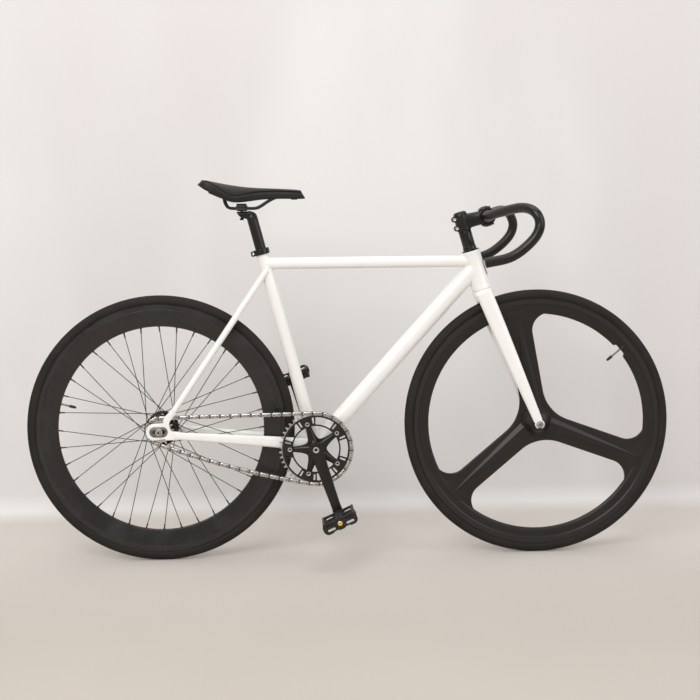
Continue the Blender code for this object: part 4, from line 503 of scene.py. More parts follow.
paints = dict(
    white=whitePaint(),
    alloy=anodised("black_alloy_satin", 0.34),
    gloss=anodised("black_alloy_gloss", 0.15),
    satin=anodised("black_alloy_satin", 0.23),
    ring=ringBlack(),
    cast=castBlack(),
    rim=rimBlack(),
    rearTyre=tyreRubber("tyre_rubber_rear", rearAxle),
    frontTyre=tyreRubber("tyre_rubber_front", frontAxle),
    steel=metal("steel_polished", (0.62, 0.6, 0.57), (0.2, 0.18, 0.16), 0.2),
    chain=metal("chain_steel_oiled", (0.54, 0.525, 0.5), (0.14, 0.12, 0.1), 0.28, 500.0, 0.6),
    darkBolt=metal("bolt_black_oxide", (0.03, 0.027, 0.025), (0.012, 0.011, 0.01), 0.34),
    # A dark steel. On the chain's inner plates and rollers it is painted shade, a shaded copy of the chain
    # steel.
    link=metal("dark_steel_and_chain_painted_shade", (0.115, 0.105, 0.095), (0.04, 0.034, 0.03), 0.34, 500.0, 0.7),
    spoke=metal("spoke_black_steel", (0.055, 0.052, 0.05), (0.02, 0.019, 0.018), 0.3),
    saddle=saddleCover(),
    plastic=mouldedPlastic(),
    brass=metal("brass_cap", (0.86, 0.62, 0.17), (0.45, 0.28, 0.07), 0.26, 600.0, 0.5),
    badge=metal("badge_brushed", (0.24, 0.23, 0.22), (0.08, 0.075, 0.07), 0.34, 900.0, 0.5),
)
# The slot of each look; the rest are black_alloy. A solid takes the last look that has its slot.
slots = dict(
    white="white_paint", cast="cast_black", frontTyre="tyre_rubber", rearTyre="tyre_rubber", darkBolt="steel",
    steel="steel", link="chain_steel", chain="chain_steel", spoke="spoke_black", saddle="saddle_cover",
    plastic="black_plastic", brass="brass", badge="badge_metal",
)
looks = {slot: look for look, slot in slots.items()}
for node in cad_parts.values():
    for place in node.material_slots:
        place.material = paints[looks.get(place.material.name.split(".")[0], "alloy")]
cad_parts["front_tyre"].material_slots[0].material = paints["frontTyre"]
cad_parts["rear_rim"].material_slots[0].material = paints["rim"]
print("finishes ready")


# Studio: a pale floor and wall in one sweep, soft lamps, and the photograph's camera.

def stood(name, data, side, above, back, place):
    made = bpy.data.objects.new(name, data)
    bpy.context.scene.collection.objects.link(made)
    turned = np.column_stack([side, above, back, place])
    made.matrix_world = Matrix(turned.tolist() + [[0, 0, 0, 1]])
    return made


def makeStudio():
    look = dict(
        floor=(0.492, 0.45, 0.404), worn=(0.535, 0.492, 0.446), far=(0.635, 0.594, 0.55),
        wall=(0.715, 0.682, 0.668), foldLit=(0.785, 0.772, 0.758),
        bend=0.07, back=0.45, reach=9.0, wide=16.0, high=6.0, under=0.0005,
    )
    back, bend, reach = look["back"], look["bend"], look["reach"]
    turn = np.linspace(0, pi / 2, 16)
    section = np.vstack([
        [[-reach, 0.0]], np.column_stack([back + bend * np.sin(turn), bend - bend * np.cos(turn)]),
        [[back + bend, look["high"]]],
    ])
    grid = np.zeros((len(section), 5, 3))
    grid[..., 0] = np.linspace(-look["wide"] / 2, look["wide"] / 2, 5)
    grid[..., 1:] = section[:, None]
    # The floor runs on behind the wall, a little lower.
    ground = grid[:2].copy()
    ground[:, :, 1:] = [[[-reach, -look["under"]]], [[reach, -look["under"]]]]
    stand = Shape().grid(grid, wrapCols=False).grid(ground, wrapCols=False)
    mesh = bpy.data.meshes.new("studio_sweep")
    mesh.from_pydata(np.vstack(stand.points).tolist(), [], stand.faces)
    mesh.shade_smooth()
    paint = Paint("studio_backdrop", look["wall"], 0.9, Specular_IOR_Level=0.1)
    where = paint.place()
    y, z = paint.parts(where)[1:3]
    # Painted light and shade: long upright streaks of a lighter tone on the wall, as of light on folds.
    foldLightAndShade = paint.noise(paint.node("Mapping", {}, {"Vector": where, "Scale": (1.0, 1.0, 0.35)}), 1.6, 3)
    pale = paint.mix(paint.step(foldLightAndShade, 0.35, 0.7), look["wall"], look["foldLit"])
    floor = paint.mix(paint.noise(where, 2.2, 3), look["floor"], look["worn"])
    # Painted light: the floor grows lighter towards the wall.
    floor = paint.mix(paint.step(y, -0.7, 0.3), floor, look["far"])
    paint.put("Base Color", paint.mix(paint.step(z, 0.0, 0.03), floor, pale))
    # The wall is clear from its far side, so that the back of the bicycle can be looked at.
    paint.put("Alpha", 1 - paint.node("NewGeometry", {}, {}, "Backfacing"))
    mesh.materials.append(paint.material)
    made = bpy.data.objects.new("studio_sweep", mesh)
    bpy.context.scene.collection.objects.link(made)


def lamp(name, place, target, size, power, colour=(1, 1, 1)):
    data = bpy.data.lights.new(name, "AREA")
    data.shape = "RECTANGLE"
    data.size, data.size_y = size
    data.energy = power
    data.color = colour
    back = unit(point(*place) - point(*target))
    side = unit(np.cross(alongZ if abs(back[2]) < 0.98 else alongY, back))
    stood(name, data, side, np.cross(back, side), back, place)


def makeLightAndCamera():
    lamp("key_soft", (-1.5, -3.4, 2.9), (0, 0, 0.4), (3.0, 2.4), 116, (1.0, 0.985, 0.96))
    lamp("fill_soft", (3.2, -2.6, 2.2), (0, 0, 0.5), (2.6, 2.2), 45, (0.97, 0.98, 1.0))
    lamp("top_soft", (0.1, 0.2, 3.6), (0, 0.1, 0.0), (3.6, 2.4), 60)
    scene = bpy.context.scene
    scene.world = bpy.data.worlds.new("studio_world")
    scene.world.use_nodes = True
    sky = scene.world.node_tree.nodes["Background"].inputs
    sky["Color"].default_value = (0.93, 0.93, 0.95, 1)
    sky["Strength"].default_value = 0.44
    scene.view_settings.view_transform = "Standard"

    view = dict(
        distance=3.3, across=-0.1161, height=0.8179, yaw=radians(2.08), pitch=radians(5.1),
        roll=radians(-0.81), lens=1321.69 * 36 / 700,
    )
    level = point(sin(view["yaw"]), cos(view["yaw"]), 0)
    ahead = level * cos(view["pitch"]) - alongZ * sin(view["pitch"])
    right = np.cross(level, alongZ)
    above = np.cross(right, ahead)
    c, s = cos(view["roll"]), sin(view["roll"])
    data = bpy.data.cameras.new("photo_camera")
    data.sensor_width = 36
    data.lens = view["lens"]
    spot = (view["across"], -view["distance"], view["height"])
    scene.camera = stood("photo_camera", data, right * c + above * s, above * c - right * s, -ahead, spot)


makeStudio()
makeLightAndCamera()
print("studio ready")


# Frame. Each tube ends inside the next, and a smooth fillet stands round each joint.

tubes = dict(
    seatTube=0.0155, downTube=0.0215, topTall=0.0157, topHalf=0.0145, shell=0.0205, shellBore=0.017,
    shellHalf=0.034, wall=0.0016, topBelowHead=0.026, topBelowSeat=0.032, downMeetsHead=0.041,
    stay=0.008, stayBelowTop=0.017, stayOffsetTop=0.0125, endHalf=0.00325,
)
downTop = headTop - tubes["downMeetsHead"] * headAxis
topFront = headTop - tubes["topBelowHead"] * headAxis
topRear = seatTop - tubes["topBelowSeat"] * seatAxis


# Fillet between a tube and a round one: from a side line of the tube, through the point where it
# meets the other, to a point on the other's skin, as a quadratic curve at each angle round the tube.
def fillet(shape, origin, toward, half, tall, target, axis, radius, reach, ripple=0.00008, steps=144):
    along = unit(toward - origin)
    above, side = across(along)
    offset = sections(np.zeros((1, 3)), side, half, above, tall, steps=steps)[0]
    start = origin + offset - target
    run, flat = along - (along @ axis) * axis, start - (start @ axis)[:, None] * axis
    a, b = run @ run, 2 * flat @ run
    rest = np.maximum(b**2 - 4 * a * ((flat**2).sum(1) - radius**2), 0)
    meet = origin + offset + ((-b - np.sqrt(rest)) / (2 * a))[:, None] * along
    outward = units(offset)
    spread = meet + reach * outward - target
    height = (spread @ axis)[:, None] * axis
    onOther = target + height + radius * units(spread - height)
    t = np.linspace(0, 1, 9)[:, None, None]
    onTube, corner = meet - reach * along, meet + 0.0002 * outward
    curve = (1 - t) ** 2 * onTube + 2 * t * (1 - t) * corner + t**2 * onOther
    beads = np.abs(np.sin(np.linspace(0, 30 * pi, steps, endpoint=False)))[None, :, None]
    curve = curve + ripple * beads * np.sin(pi * t) * outward
    inner = (meet + 0.8 * reach * along - 0.5 * reach * outward)[None]
    return shape.grid(np.concatenate([curve, inner]).transpose(1, 0, 2), wrapRows=True)


def makeFrame():
    half, tall, down = tubes["topHalf"], tubes["topTall"], tubes["downTube"]
    seatR, shell = tubes["seatTube"], tubes["shell"]
    inner, length = seatR - tubes["wall"], geometry["seatTube"]
    side, bore = tubes["shellHalf"], tubes["shellBore"]
    profile = eased([(0, 0), (0, seatR), (length - 0.022, seatR), (length, seatR), (length, inner),
                     (length - 0.03, inner), (length - 0.03, 0)], 0.0004)
    # The head tube: a slight waist, a rim at each end, and the seats of its two bearings.
    head = np.vstack([smoothRows(mm(
        (0.6, 24.65), (3, 24.8), (7.5, 24.8), (11.5, 24.3), (24, 23.8), (55, 22.7), (84, 23), (90.5, 23.3),
        (93.5, 23.5), (97.5, 23.5), (99.4, 23.35)), 6),
        mm((99.8, 22.6), (99.2, 20.6), (85, 20.5), (15, 20.5), (0.8, 20.6), (0.2, 24))])
    bracket = eased([(-side, bore), (-side, shell), (side, shell), (side, bore), (side - 0.02, bore),
                     (side - 0.02, bore - 0.001), (0.02 - side, bore - 0.001), (0.02 - side, bore)], 0.0006)
    for name, shape in (
        ("top_tube", Shape().grid(sweep(straight(topRear, topFront, 24), half, tall, 2.3, 48))),
        ("down_tube", Shape().grid(sweep(straight(bottomBracket, downTop, 24), down, down, 2.1, 56))),
        ("seat_tube", plug(profile, bottomBracket, seatAxis, 56)),
        ("head_tube", ring(head, headBottom, headAxis, 72)),
        ("bottom_bracket_shell", ring(bracket, bottomBracket, alongY, 64)),
    ):
        piece("frame_" + name, shape, "frame", "white", "frame")
    makeStays()
    shape = Shape()
    fillet(shape, topRear, topFront, half, tall, headTop, headAxis, 0.0231, 0.0065)
    fillet(shape, topFront, topRear, half, tall, seatTop, seatAxis, seatR, 0.0055)
    fillet(shape, bottomBracket, downTop, down, down, headTop, headAxis, 0.0229, 0.008)
    fillet(shape, downTop, bottomBracket, down, down, bottomBracket, alongY, shell, 0.006)
    fillet(shape, seatTop, bottomBracket, seatR, seatR, bottomBracket, alongY, shell, 0.006, 0.0006)
    piece("frame_joint_fillets", shape, "frame", "white", "frame")


# The stays: superellipses through stations, wide and flat at the crank and slim at the wheel.
def makeStays():
    endY = geometry["trackEndY"]
    axle = point(geometry["rearAxleX"], endY, geometry["wheelRadius"])
    share = np.array([0, 0.18, 0.35, 0.52, 0.68, 0.84, 0.92, 1.0])
    first, last = axle + point(0.0385, 0, -0.00975), bottomBracket + point(0, 0, 0.006)
    rows = np.column_stack([
        first + (last - first) * share[:, None],
        np.interp(share, [0, 0.35, 0.68, 0.84, 1], [0.006, 0.0071, 0.0075, 0.0071, 0.0068]),
        0.00875 + 0.00725 * share,
    ])
    rows[:, 1] = np.interp(share, [0, 0.35, 0.68, 0.84, 1.0], [endY, 0.04538, 0.0285, 0.027, 0.0235])
    rows = smoothRows(rows, 8)
    pair("frame_chainstay", Shape().grid(sweep(rows[:, :3], rows[:, 3], rows[:, 4], 3.0, 40, alongZ)),
         "frame", "white", "frame")

    top = topRear - tubes["stayBelowTop"] * seatAxis + alongY * tubes["stayOffsetTop"]
    foot = axle + point(0.037, 0, 0.049)
    far = np.linalg.norm(top - foot) * 1000
    rows = smoothRows(mm(
        (-12, 4, 6.6, 2.4), (-2, 4.6, 6.8, 2.4), (20, 6.6, 7.2, 2.1), (far * 0.35, 7.4, 7.8, 2.0),
        (far - 120, 8, 8, 2.0), (far, 8, 8, 2.0), plain=1), 8)
    path = foot + rows[:, :1] * unit(top - foot)
    pair("frame_seatstay", Shape().grid(sweep(path, rows[:, 1], rows[:, 2], rows[:, 3], 36, alongZ)),
         "frame", "white", "frame")

    # The track end: a round back, and a front that runs into both stays.
    back = arc((axle[0] - 0.0095, axle[2]), 0.0215, radians(110), radians(255), 22)
    front = axle[[0, 2]] + mm((16.5, -21), (54.5, -18.5), (54.5, -1), (30.5, 2), (26.5, 12), (26.5, 24),
                              (44.5, 46), (29.5, 52), (10.5, 32))
    front = softened(front, np.array([4, 1, 1, 6, 6, 8, 1, 1, 10]) / 1000, 5)
    loops = [np.vstack([back, front]), slotLoop(axle[0], axle[2], 0.045, 0.026)]
    pair("frame_track_end", plate(loops, endY - tubes["endHalf"], endY + tubes["endHalf"], 0.0009),
         "frame", "white", "frame")
    stay = tubes["stay"]
    shape = fillet(Shape(), foot, top, stay, stay, seatTop, seatAxis, tubes["seatTube"], 0.004)
    pair("frame_stay_fillet", shape, "frame", "white", "frame")


makeFrame()
print("frame made")


# Fork: a crown that spreads from the head tube's round foot into two deep blades.

fork = dict(
    steerer=0.0143, bore=0.0125, steererTop=0.1959, seat=0.0003, bladeTop=0.008, offset=0.029, end=0.0065,
    endRadius=0.012, slot=0.0048, mouth=0.0108,
)


def makeFork():
    crown = headBottom - fork["seat"] * headAxis
    rows = smoothRows(mm(
        (0, 24.6, 24.6, 2.0), (-2, 24.8, 25, 2.0), (-6, 24.7, 28.2, 2.05), (-10, 24.3, 33, 2.2),
        (-14.5, 23.2, 37, 2.5), (-20, 22, 38.6, 2.7), (-25.5, 21.3, 38.9, 2.8), (-28.5, 18.5, 37, 2.8),
        plain=1), 6)
    path = crown + rows[:, :1] * headAxis
    skin = sections(path, -headBack, rows[:, 1], alongY, rows[:, 2], rows[:, 3], 56)
    piece("fork_crown", Shape().grid(skin), "steering", "white", "fork")

    # The blade: thousandths of its length, then its half depth, half width and squareness.
    top = crown - fork["bladeTop"] * headAxis + alongY * fork["offset"]
    x, y, z = tip = frontAxle + alongY * geometry["forkEndY"]
    rows = smoothRows(mm(
        (0, 20, 10, 2.5), (100, 19.9, 10, 2.5), (250, 19.2, 10, 2.5), (480, 17, 9, 2.4),
        (700, 14.5, 7.8, 2.4),
        (860, 12.4, 6, 2.4), (940, 11.4, 4.6, 2.5), (975, 10.9, 3.7, 2.6), plain=1), 8)
    path = top + rows[:, :1] * (tip - top)
    forward = unit(np.cross(alongY, top - tip))
    blade = Shape().grid(sweep(path, rows[:, 2], rows[:, 1], rows[:, 3], 44, forward))
    slot, drop = fork["slot"], fork["mouth"]
    lean = -0.0024 * headAxis[0]
    opening = arc((x, z), fork["endRadius"], radians(-62), radians(242), 40)
    mouth = arc((x, z), slot, pi, 0, 14)
    loop = np.vstack([opening, [(x - slot + lean, z - drop)], mouth, [(x + slot + lean, z - drop)]])
    plate([loop], y - fork["end"] / 2, y + fork["end"] / 2, 0.0008, blade)
    pair("fork_blade", blade, "steering", "white", "fork")
    high, radius, bore = fork["steererTop"], fork["steerer"], fork["bore"]
    rows = eased([(-0.002, 0), (-0.002, radius), (high, radius), (high, bore), (high - 0.01, bore),
                  (high - 0.01, 0)], 0.0003)
    piece("fork_steerer", plug(rows, crown, headAxis, 48), "steering", "alloy", "fork", slot="white_paint")


makeFork()
print("fork made")


# Wheels.

wheel = dict(tyreHalf=0.01175, tyreTall=0.0137, rearFoot=0.256, frontFoot=0.273)


# A tyre: an ellipse round the casing's middle from bead to bead, closed under the rim's edge.
def makeTyre(name, centre, body):
    angle = np.radians(np.linspace(-116, 116, 37))
    tall = wheel["tyreTall"]
    crown = np.column_stack([wheel["tyreHalf"] * np.sin(angle),
        geometry["wheelRadius"] - tall + tall * np.cos(angle)])
    profile = np.vstack([crown, mm((5.6, 306.6), (-5.6, 306.6))])
    look = "rearTyre" if body == "rear_wheel" else "frontTyre"
    piece(name + "_tread", ring(profile, centre, alongY, 240), body, look, name, smooth=50)


# A rim's section from its bed over the brake track to its foot, and back on the other side.
def rimProfile(*lower):
    bed = mm((6, 306.2), (9.3, 311.4), (10.2, 312), (11, 311.4), (11.1, 310.4), (10.6, 309.9), (10.6, 309),
             (10.9, 308.6), (10.9, 299.4), (10.3, 298.8))
    rows = np.vstack([bed, smoothRows(mm((10.5, 298), *lower), 6)])
    return np.vstack([rows, rows[-2::-1] * (-1, 1)])


makeTyre("rear_tyre", rearAxle, "rear_wheel")
makeTyre("front_tyre", frontAxle, "front_wheel")
rearRim = rimProfile((10, 294), (7.525, 274.92), (5, 260), (3.68, 257.2), (0, 256))
piece("rear_rim_deep", ring(rearRim, rearAxle, alongY, 216), "rear_wheel", "rim", "rear_rim", smooth=28)


# The cast front wheel. Each third of its web is a grid over distance and angle, and its edge follows
# the round-cornered opening; its half thickness is the web, a roofed ridge and a rounded rim to the edge.

casting = dict(
    overlap=0.004, armHalf=0.031, webHalf=0.0055, rimFillet=0.043, hubFillet=0.098, armAngle=radians(-20),
    ridgeRise=0.0062, ridgeFoot=0.024, ridgeTop=0.0115, ridgeStart=0.02, ridgeEnd=0.286, edgeRound=0.003,
    swell=0.0012, climb=0.0032, climbStart=0.25, climbOver=0.028, sink=0.003, sinkOver=0.004,
    valveAngle=radians(40), notchDeep=0.0062, notchHalf=radians(3.95), notchEase=radians(0.95),
    notchReach=0.292, notchOver=0.012,
)


def makeWeb():
    arm, rimRound, hubRound = casting["armHalf"], casting["rimFillet"], casting["hubFillet"]
    wedge, edge, end = pi / 3, wheel["frontFoot"] + casting["overlap"], casting["ridgeEnd"]
    # The centres of the opening's rounds, where each touches the arm's side, and those spots' distances.
    hubX = (arm + hubRound) / sin(wedge)
    reach = sqrt((edge - rimRound) ** 2 - (arm + rimRound) ** 2)
    cornerR, cornerA = edge - rimRound, atan2(arm + rimRound, reach)
    hubTouch = sqrt(hubX**2 - (arm + hubRound) ** 2)
    inner, near, far = hubX - hubRound, sqrt(hubTouch**2 + arm**2), sqrt(reach**2 + arm**2)
    r = np.concatenate([
        np.linspace(0.015, inner, 18, endpoint=False),
        inner + (near - inner) * np.linspace(0, 1, 16, endpoint=False) ** 1.5,
        np.linspace(near, far, 40, endpoint=False),
        edge - (edge - far) * (1 - np.linspace(0, 1, 18)) ** 1.5,
        np.linspace(edge, end + 0.001, 9)[1:],
    ])
    onHub = np.clip((r**2 + hubX**2 - hubRound**2) / (2 * r * hubX), -1, 1)
    onRim = np.clip((r**2 + cornerR**2 - rimRound**2) / (2 * r * cornerR), -1, 1)
    spread = np.where(r <= inner, wedge, wedge - np.arccos(onHub))
    spread = np.where(r >= near, np.arcsin(np.minimum(arm / r, 1)), spread)
    spread = np.where(r >= far, cornerA - np.arccos(onRim), spread)
    spread = np.where(r >= edge, cornerA, spread)

    # The ridge is a long pyramid cut flat: its foot and its flat both narrow evenly to a point at the rim.
    along = np.clip((r - casting["ridgeStart"]) / (end - casting["ridgeStart"]), 0, 1)[:, None]
    rim = (r * np.sin(spread))[:, None]
    low = np.minimum(casting["ridgeFoot"] * (1 - along) + 0.0004, rim * 0.8)
    top = np.minimum(casting["ridgeTop"] * (1 - along) + 0.0001, low * 0.48)
    lane = np.hstack([top * (0, 0.5), top + (low - top) * (0, 0.33, 0.67),
                      low + (rim - low) * np.sin(np.linspace(0, pi / 2, 16))])
    weight = np.concatenate([np.ones(3), [0.67, 0.33], np.zeros(16)])
    a, weight = np.hstack([-lane[:, :0:-1], lane]), np.concatenate([weight[:0:-1], weight])
    rr = np.broadcast_to(r[:, None], a.shape)
    x, side = np.sqrt(np.maximum(rr**2 - a**2, 1e-9)), np.abs(a)

    # Distance from the opening's edge: the hub's round, the arm's straight side, the corner's round.
    toHub = np.hypot(x - hubX * cos(wedge), side - hubX * sin(wedge)) - hubRound
    toRim = np.hypot(x - reach, side - arm - rimRound) - rimRound
    gap = np.maximum(np.where(x < hubTouch, toHub, np.where(x < reach, arm - side, toRim)), 0)
    soft = casting["edgeRound"]
    drop = soft - np.sqrt(np.maximum(soft**2 - np.clip(soft - gap, 0, soft) ** 2, 0))
    # Toward the rim the arm's middle rises to stand over the rim's skin, and sinks into it at the end.
    swell = casting["swell"] * np.clip(1 - (side / (arm * 1.05)) ** 2, 0, 1)
    meet = casting["climb"] * eases((rr - casting["climbStart"]) / casting["climbOver"])
    meet = meet * eases((arm * 1.25 - side) / (arm * 0.75))
    sink = casting["sink"] * np.clip((rr - end + casting["sink"]) / casting["sinkOver"], 0, 1)
    roof = casting["ridgeRise"] * (1 - along) * weight
    thick = (casting["webHalf"] - casting["swell"] + swell + roof + meet - sink - drop)[..., None]
    shape = Shape()
    first = np.searchsorted(r, inner + 1e-6) - 1
    for k in range(3):
        out, beside = polar(casting["armAngle"] + 2 * pi * k / 3)
        flat = frontAxle + x[..., None] * out + a[..., None] * beside
        for sign in (-1, 1):
            shape.grid(flat + sign * thick * alongY, wrapCols=False)
        for column in (0, -1):
            wall = np.array([[-1], [0], [1]]) * thick[first:, None, column] * alongY
            shape.grid(flat[first:, None, column] + wall, wrapCols=False)
    piece("front_wheel_web", shape, "front_wheel", "cast", "front_wheel", smooth=22, merge=2e-5)


def makeCastRim():
    rows = rimProfile((8.7, 294.5), (8, 288), (7.1, 281.5), (5.6, 276.6), (3.2, 273.9), (0, 273))
    spread = lathe(rows, point(0, 0, 0), alongY, 360)
    # A notch in the rim's inner edge makes room for the pump over the valve.
    reach = np.hypot(spread[..., 0], spread[..., 2])
    away = np.abs(np.arctan2(spread[..., 2], spread[..., 0]) - casting["valveAngle"])
    lift = casting["notchDeep"] * eases((casting["notchHalf"] - away) / casting["notchEase"])
    lift = lift * np.clip((casting["notchReach"] - reach) / casting["notchOver"], 0, 1)
    spread[..., ::2] *= (1 + lift / reach)[..., None]
    shape = Shape().grid(frontAxle + spread, wrapRows=True)
    piece("front_wheel_rim", shape, "front_wheel", "cast", "front_wheel", smooth=28)
    rows = mm((47.5, 5.8), (47.5, 14.8), (46.5, 16), (39.5, 16.8), (38.5, 20), (20, 28), (14, 31), (7, 38.5))
    rows = eased(np.vstack([rows, rows[::-1] * (-1, 1)]), 0.001, 3)
    piece("front_wheel_hub", ring(rows, frontAxle, alongY, 72), "front_wheel", "cast", "front_wheel")


makeWeb()
makeCastRim()
print("wheels made")


# Bar: a round tube along a smooth curve, thicker where the stem holds it. Its stations are shares of
# its reach, its half width and its drop.

bar = dict(
    halfWidth=0.1993, reach=0.0985, drop=0.112, radius=0.012, clampRadius=0.0159, clampHalf=0.029,
    taper=0.016, stations=[
        (0, 0, 0), (0, 0.16, 0), (0.022, 0.25, 0.007), (0.193, 0.43, 0.067), (0.629, 0.77, 0.155),
        (0.893, 0.96, 0.054), (1, 1, -0.214), (0.832, 1, -0.527), (0.335, 1, -0.866), (-0.305, 1, -1),
    ],
)
stem = dict(reach=0.0625, rise=radians(13), clampHeight=0.043, coverHeight=0.0128, spacer=0.0404, ring=0.0212,
            ringHalf=0.023, ringBore=0.0162)
stemLow = headTop + (stem["coverHeight"] + stem["spacer"]) * headAxis
stemMiddle = stemLow + stem["clampHeight"] / 2 * headAxis
stemReach, stemLift = polar(stem["rise"])
barCentre = stemMiddle + stem["reach"] * stemReach


def makeBar():
    left = np.array(bar["stations"]) * (bar["reach"], bar["halfWidth"], bar["drop"])
    path = barCentre + smoothRows(np.vstack([(left[1:] * (1, -1, 1))[::-1], left]), 10)
    out = eases((np.abs(path[:, 1]) - bar["clampHalf"]) / bar["taper"])
    radius = bar["clampRadius"] + (bar["radius"] - bar["clampRadius"]) * out
    run = units(np.gradient(path, axis=0))
    # Carried without twist: each point takes the last one's direction, made square to its own run.
    frames = [alongZ]
    for way in run[1:]:
        frames.append(unit(frames[-1] - (frames[-1] @ way) * way))
    frames[0] = unit(alongZ - (alongZ @ run[0]) * run[0])
    first, second = np.array(frames)[:, None], np.cross(run, frames)[:, None]
    skin = sections(path, first, radius, second, radius, steps=32)
    piece("handlebar_tube", Shape().grid(skin), "steering", "satin", "handlebar", smooth=50)
    rows = smoothRows(mm((-1, 0), (-0.8, 11.4), (0.4, 11.6), (1.4, 10.4), (2, 0)), 5)
    for name, spot, away in (("right", path[0], -run[0]), ("left", path[-1], run[-1])):
        piece("bar_plug_" + name, plug(rows, spot, away, 36), "steering", "plastic", "bar_end_plug_" + name)


makeBar()
print("bar made")


# Saddle: sections across it, each a smooth closed loop, carried from tail to nose. A station is its
# share of the length, then of the half width and the height: half, top, skirt, tuck, crease and lean.

seat = dict(
    length=0.266, behind=0.108, half=0.07, height=0.0695, postExposed=0.093, setback=0.0225, above=0.016,
    stations=[
        (0.000, 0.471, 0.945, 0.845, 0.9, 0.14, 0.0115), (0.02, 0.8, 0.987, 0.785, 0.96, 0.12, 0.0085),
        (0.08, 0.979, 0.995, 0.625, 1.00, 0.15, 0.003), (0.17, 1.000, 0.935, 0.46, 0.98, 0.3, 0),
        (0.27, 0.857, 0.863, 0.259, 0.92, 0.58, 0), (0.36, 0.643, 0.806, 0.209, 0.88, 0.66, 0),
        (0.47, 0.443, 0.748, 0.24, 0.88, 0.5, 0), (0.6, 0.35, 0.712, 0.295, 0.9, 0.36, 0),
        (0.75, 0.307, 0.683, 0.312, 0.92, 0.3, 0), (0.9, 0.271, 0.647, 0.302, 0.92, 0.29, -0.0012),
        (0.97, 0.236, 0.618, 0.302, 0.9, 0.28, -0.005), (1.000, 0.15, 0.58, 0.312, 0.85, 0.26, -0.011),
    ],
)
postTop = seatTop + seat["postExposed"] * seatAxis
clampSpot = postTop + point(-seat["setback"], 0, seat["above"])
saddleTail = clampSpot[[0, 2]] - (seat["behind"], 0)


def makeSaddle():
    share, half, top, skirt, tuck, crease, lean = smoothRows(seat["stations"], 7).T
    half, top, skirt = seat["half"] * half, seat["height"] * top, seat["height"] * skirt
    wall = top - skirt
    shell = np.minimum(0.01, wall * 0.4)
    # A side wall stands up to a seam; above the seam the top is a shallow crown. The seam is level with
    # the top's edge at the tail, falls down the wings and rises again along the nose.
    grooveLine = top - wall * crease
    y = np.stack([half * tuck * 0.8, half * tuck, half * (0.4 * tuck + 0.6), half * 0.996, half - 0.0052,
                  half - 0.0022, half * 0.93, half * 0.76, half * 0.42, 0 * half], 1)
    z = np.stack([skirt + 0.0012, skirt, skirt + (grooveLine - skirt) * 0.45, grooveLine - 0.0018, grooveLine, grooveLine + 0.002,
                  *(top - wall * crease * fall for fall in (0.62, 0.26, 0.06)), top], 1)
    under, middle = (half * tuck * 0.5)[:, None], (0 * half)[:, None]
    side, deep = (top - shell * 1.5)[:, None], (top - shell * 1.2)[:, None]
    loopY = np.hstack([y, -y[:, -2::-1], -under, middle, under])
    loopZ = np.hstack([z, z[:, -2::-1], side, deep, side])
    # Both ends lean: the tail's face back from its upper edge, the nose forward to its lower lip.
    slant = lean[:, None] * (loopZ - skirt[:, None]) / wall[:, None]
    x = saddleTail[0] + seat["length"] * share[:, None] + slant
    shape = Shape().grid(np.stack([x, loopY, clampSpot[2] + loopZ], 2))
    made = piece("saddle_cover", shape, "seat", "saddle", "saddle", smooth=60, subdivide=2)
    # Sockets of the rails show under the skirt at the tail and the nose.
    shape = Shape()
    tail = saddleTail + mm((30, 42), (30, 36.8), (54, 26.2), (56, 31))
    nose = saddleTail + mm((230, 24), (230, 20), (245, 20), (246, 24))
    for side in (-1, 1):
        for corners, middle, wide in ((tail, side * 0.058, 0.006), (nose, side * 0.01, 0.004)):
            plate([softened(corners, 0.0012, 3)], middle - wide, middle + wide, 0.0008, shape)
    piece("saddle_rail_sockets", shape, "seat", "plastic", smooth=40)


makeSaddle()
print("saddle made")


# Rear wheel: hub, laced spokes and their nipples.

lacing = dict(
    perSide=18, cross=3, radius=0.00095, holes=0.035, flangeRadius=0.04, flangeHalf=0.0015, right=-0.032,
    left=0.035, elbow=0.0022, rimOffset=0.0022,
)
origin, sides = point(0, 0, 0), ((-1, "right"), (1, "left"))


# Spokes: each leaves its flange hole square to the flange, bends at the elbow and runs to the rim.
def makeSpokes():
    spokes, nipples = Shape(), Shape()
    rows = mm((-12.5, 1.1), (-12.5, 1.6), (-11.8, 1.8), (-2, 1.8), (-0.8, 2.7), (3, 2.7))
    nipple = plug(rows, origin, alongZ, 8)
    head = mm((0, 0), (0, 1.7), (0.7, 1.5), (1, 0.8), (1, 0))
    k, step = np.arange(lacing["perSide"]), 2 * pi / lacing["perSide"]
    odd, foot, holes, radius = np.where(k % 2, 1, -1), wheel["rearFoot"], lacing["holes"], lacing["radius"]
    for side, flange in ((-1, lacing["right"]), (1, lacing["left"])):
        rim = k * step + (step / 2 if side > 0 else 0)
        hub, outside = rim + lacing["cross"] * step * odd, odd * lacing["elbow"]
        start = rearAxle + np.stack([holes * np.cos(hub), flange + outside, holes * np.sin(hub)], 1)
        offset = np.full(len(rim), side * lacing["rimOffset"])
        end = rearAxle + np.stack([foot * np.cos(rim), offset, foot * np.sin(rim)], 1)
        run = units(end - start)
        first = units(np.cross(run, alongY))
        nipples.copies(nipple, np.stack([first, np.cross(run, first), run], 2), end)
        for hole, tip, way, up, out in zip(start, end, run, first, outside):
            back = hole - 1.9 * out * alongY
            path = [back, hole - 0.35 * out * alongY, hole + 0.001 * way, hole + 0.003 * way, tip]
            spokes.grid(sweep(np.array(path), radius, radius, 2.0, 8, up))
            spokes.grid(lathe(head, back, -np.sign(out) * alongY, 8))
    piece("spokes_laced", spokes, "rear_wheel", "spoke", "rear_hub_and_spokes")
    piece("spoke_nipples", nipples, "rear_wheel", "spoke", "rear_hub_and_spokes")


# A fine thread as a lathe profile: rows whose radius steps up and down.
def thread(start, end, count, radius, rise):
    return np.column_stack([np.linspace(start, end, count), radius + rise * (np.arange(count) % 2)])


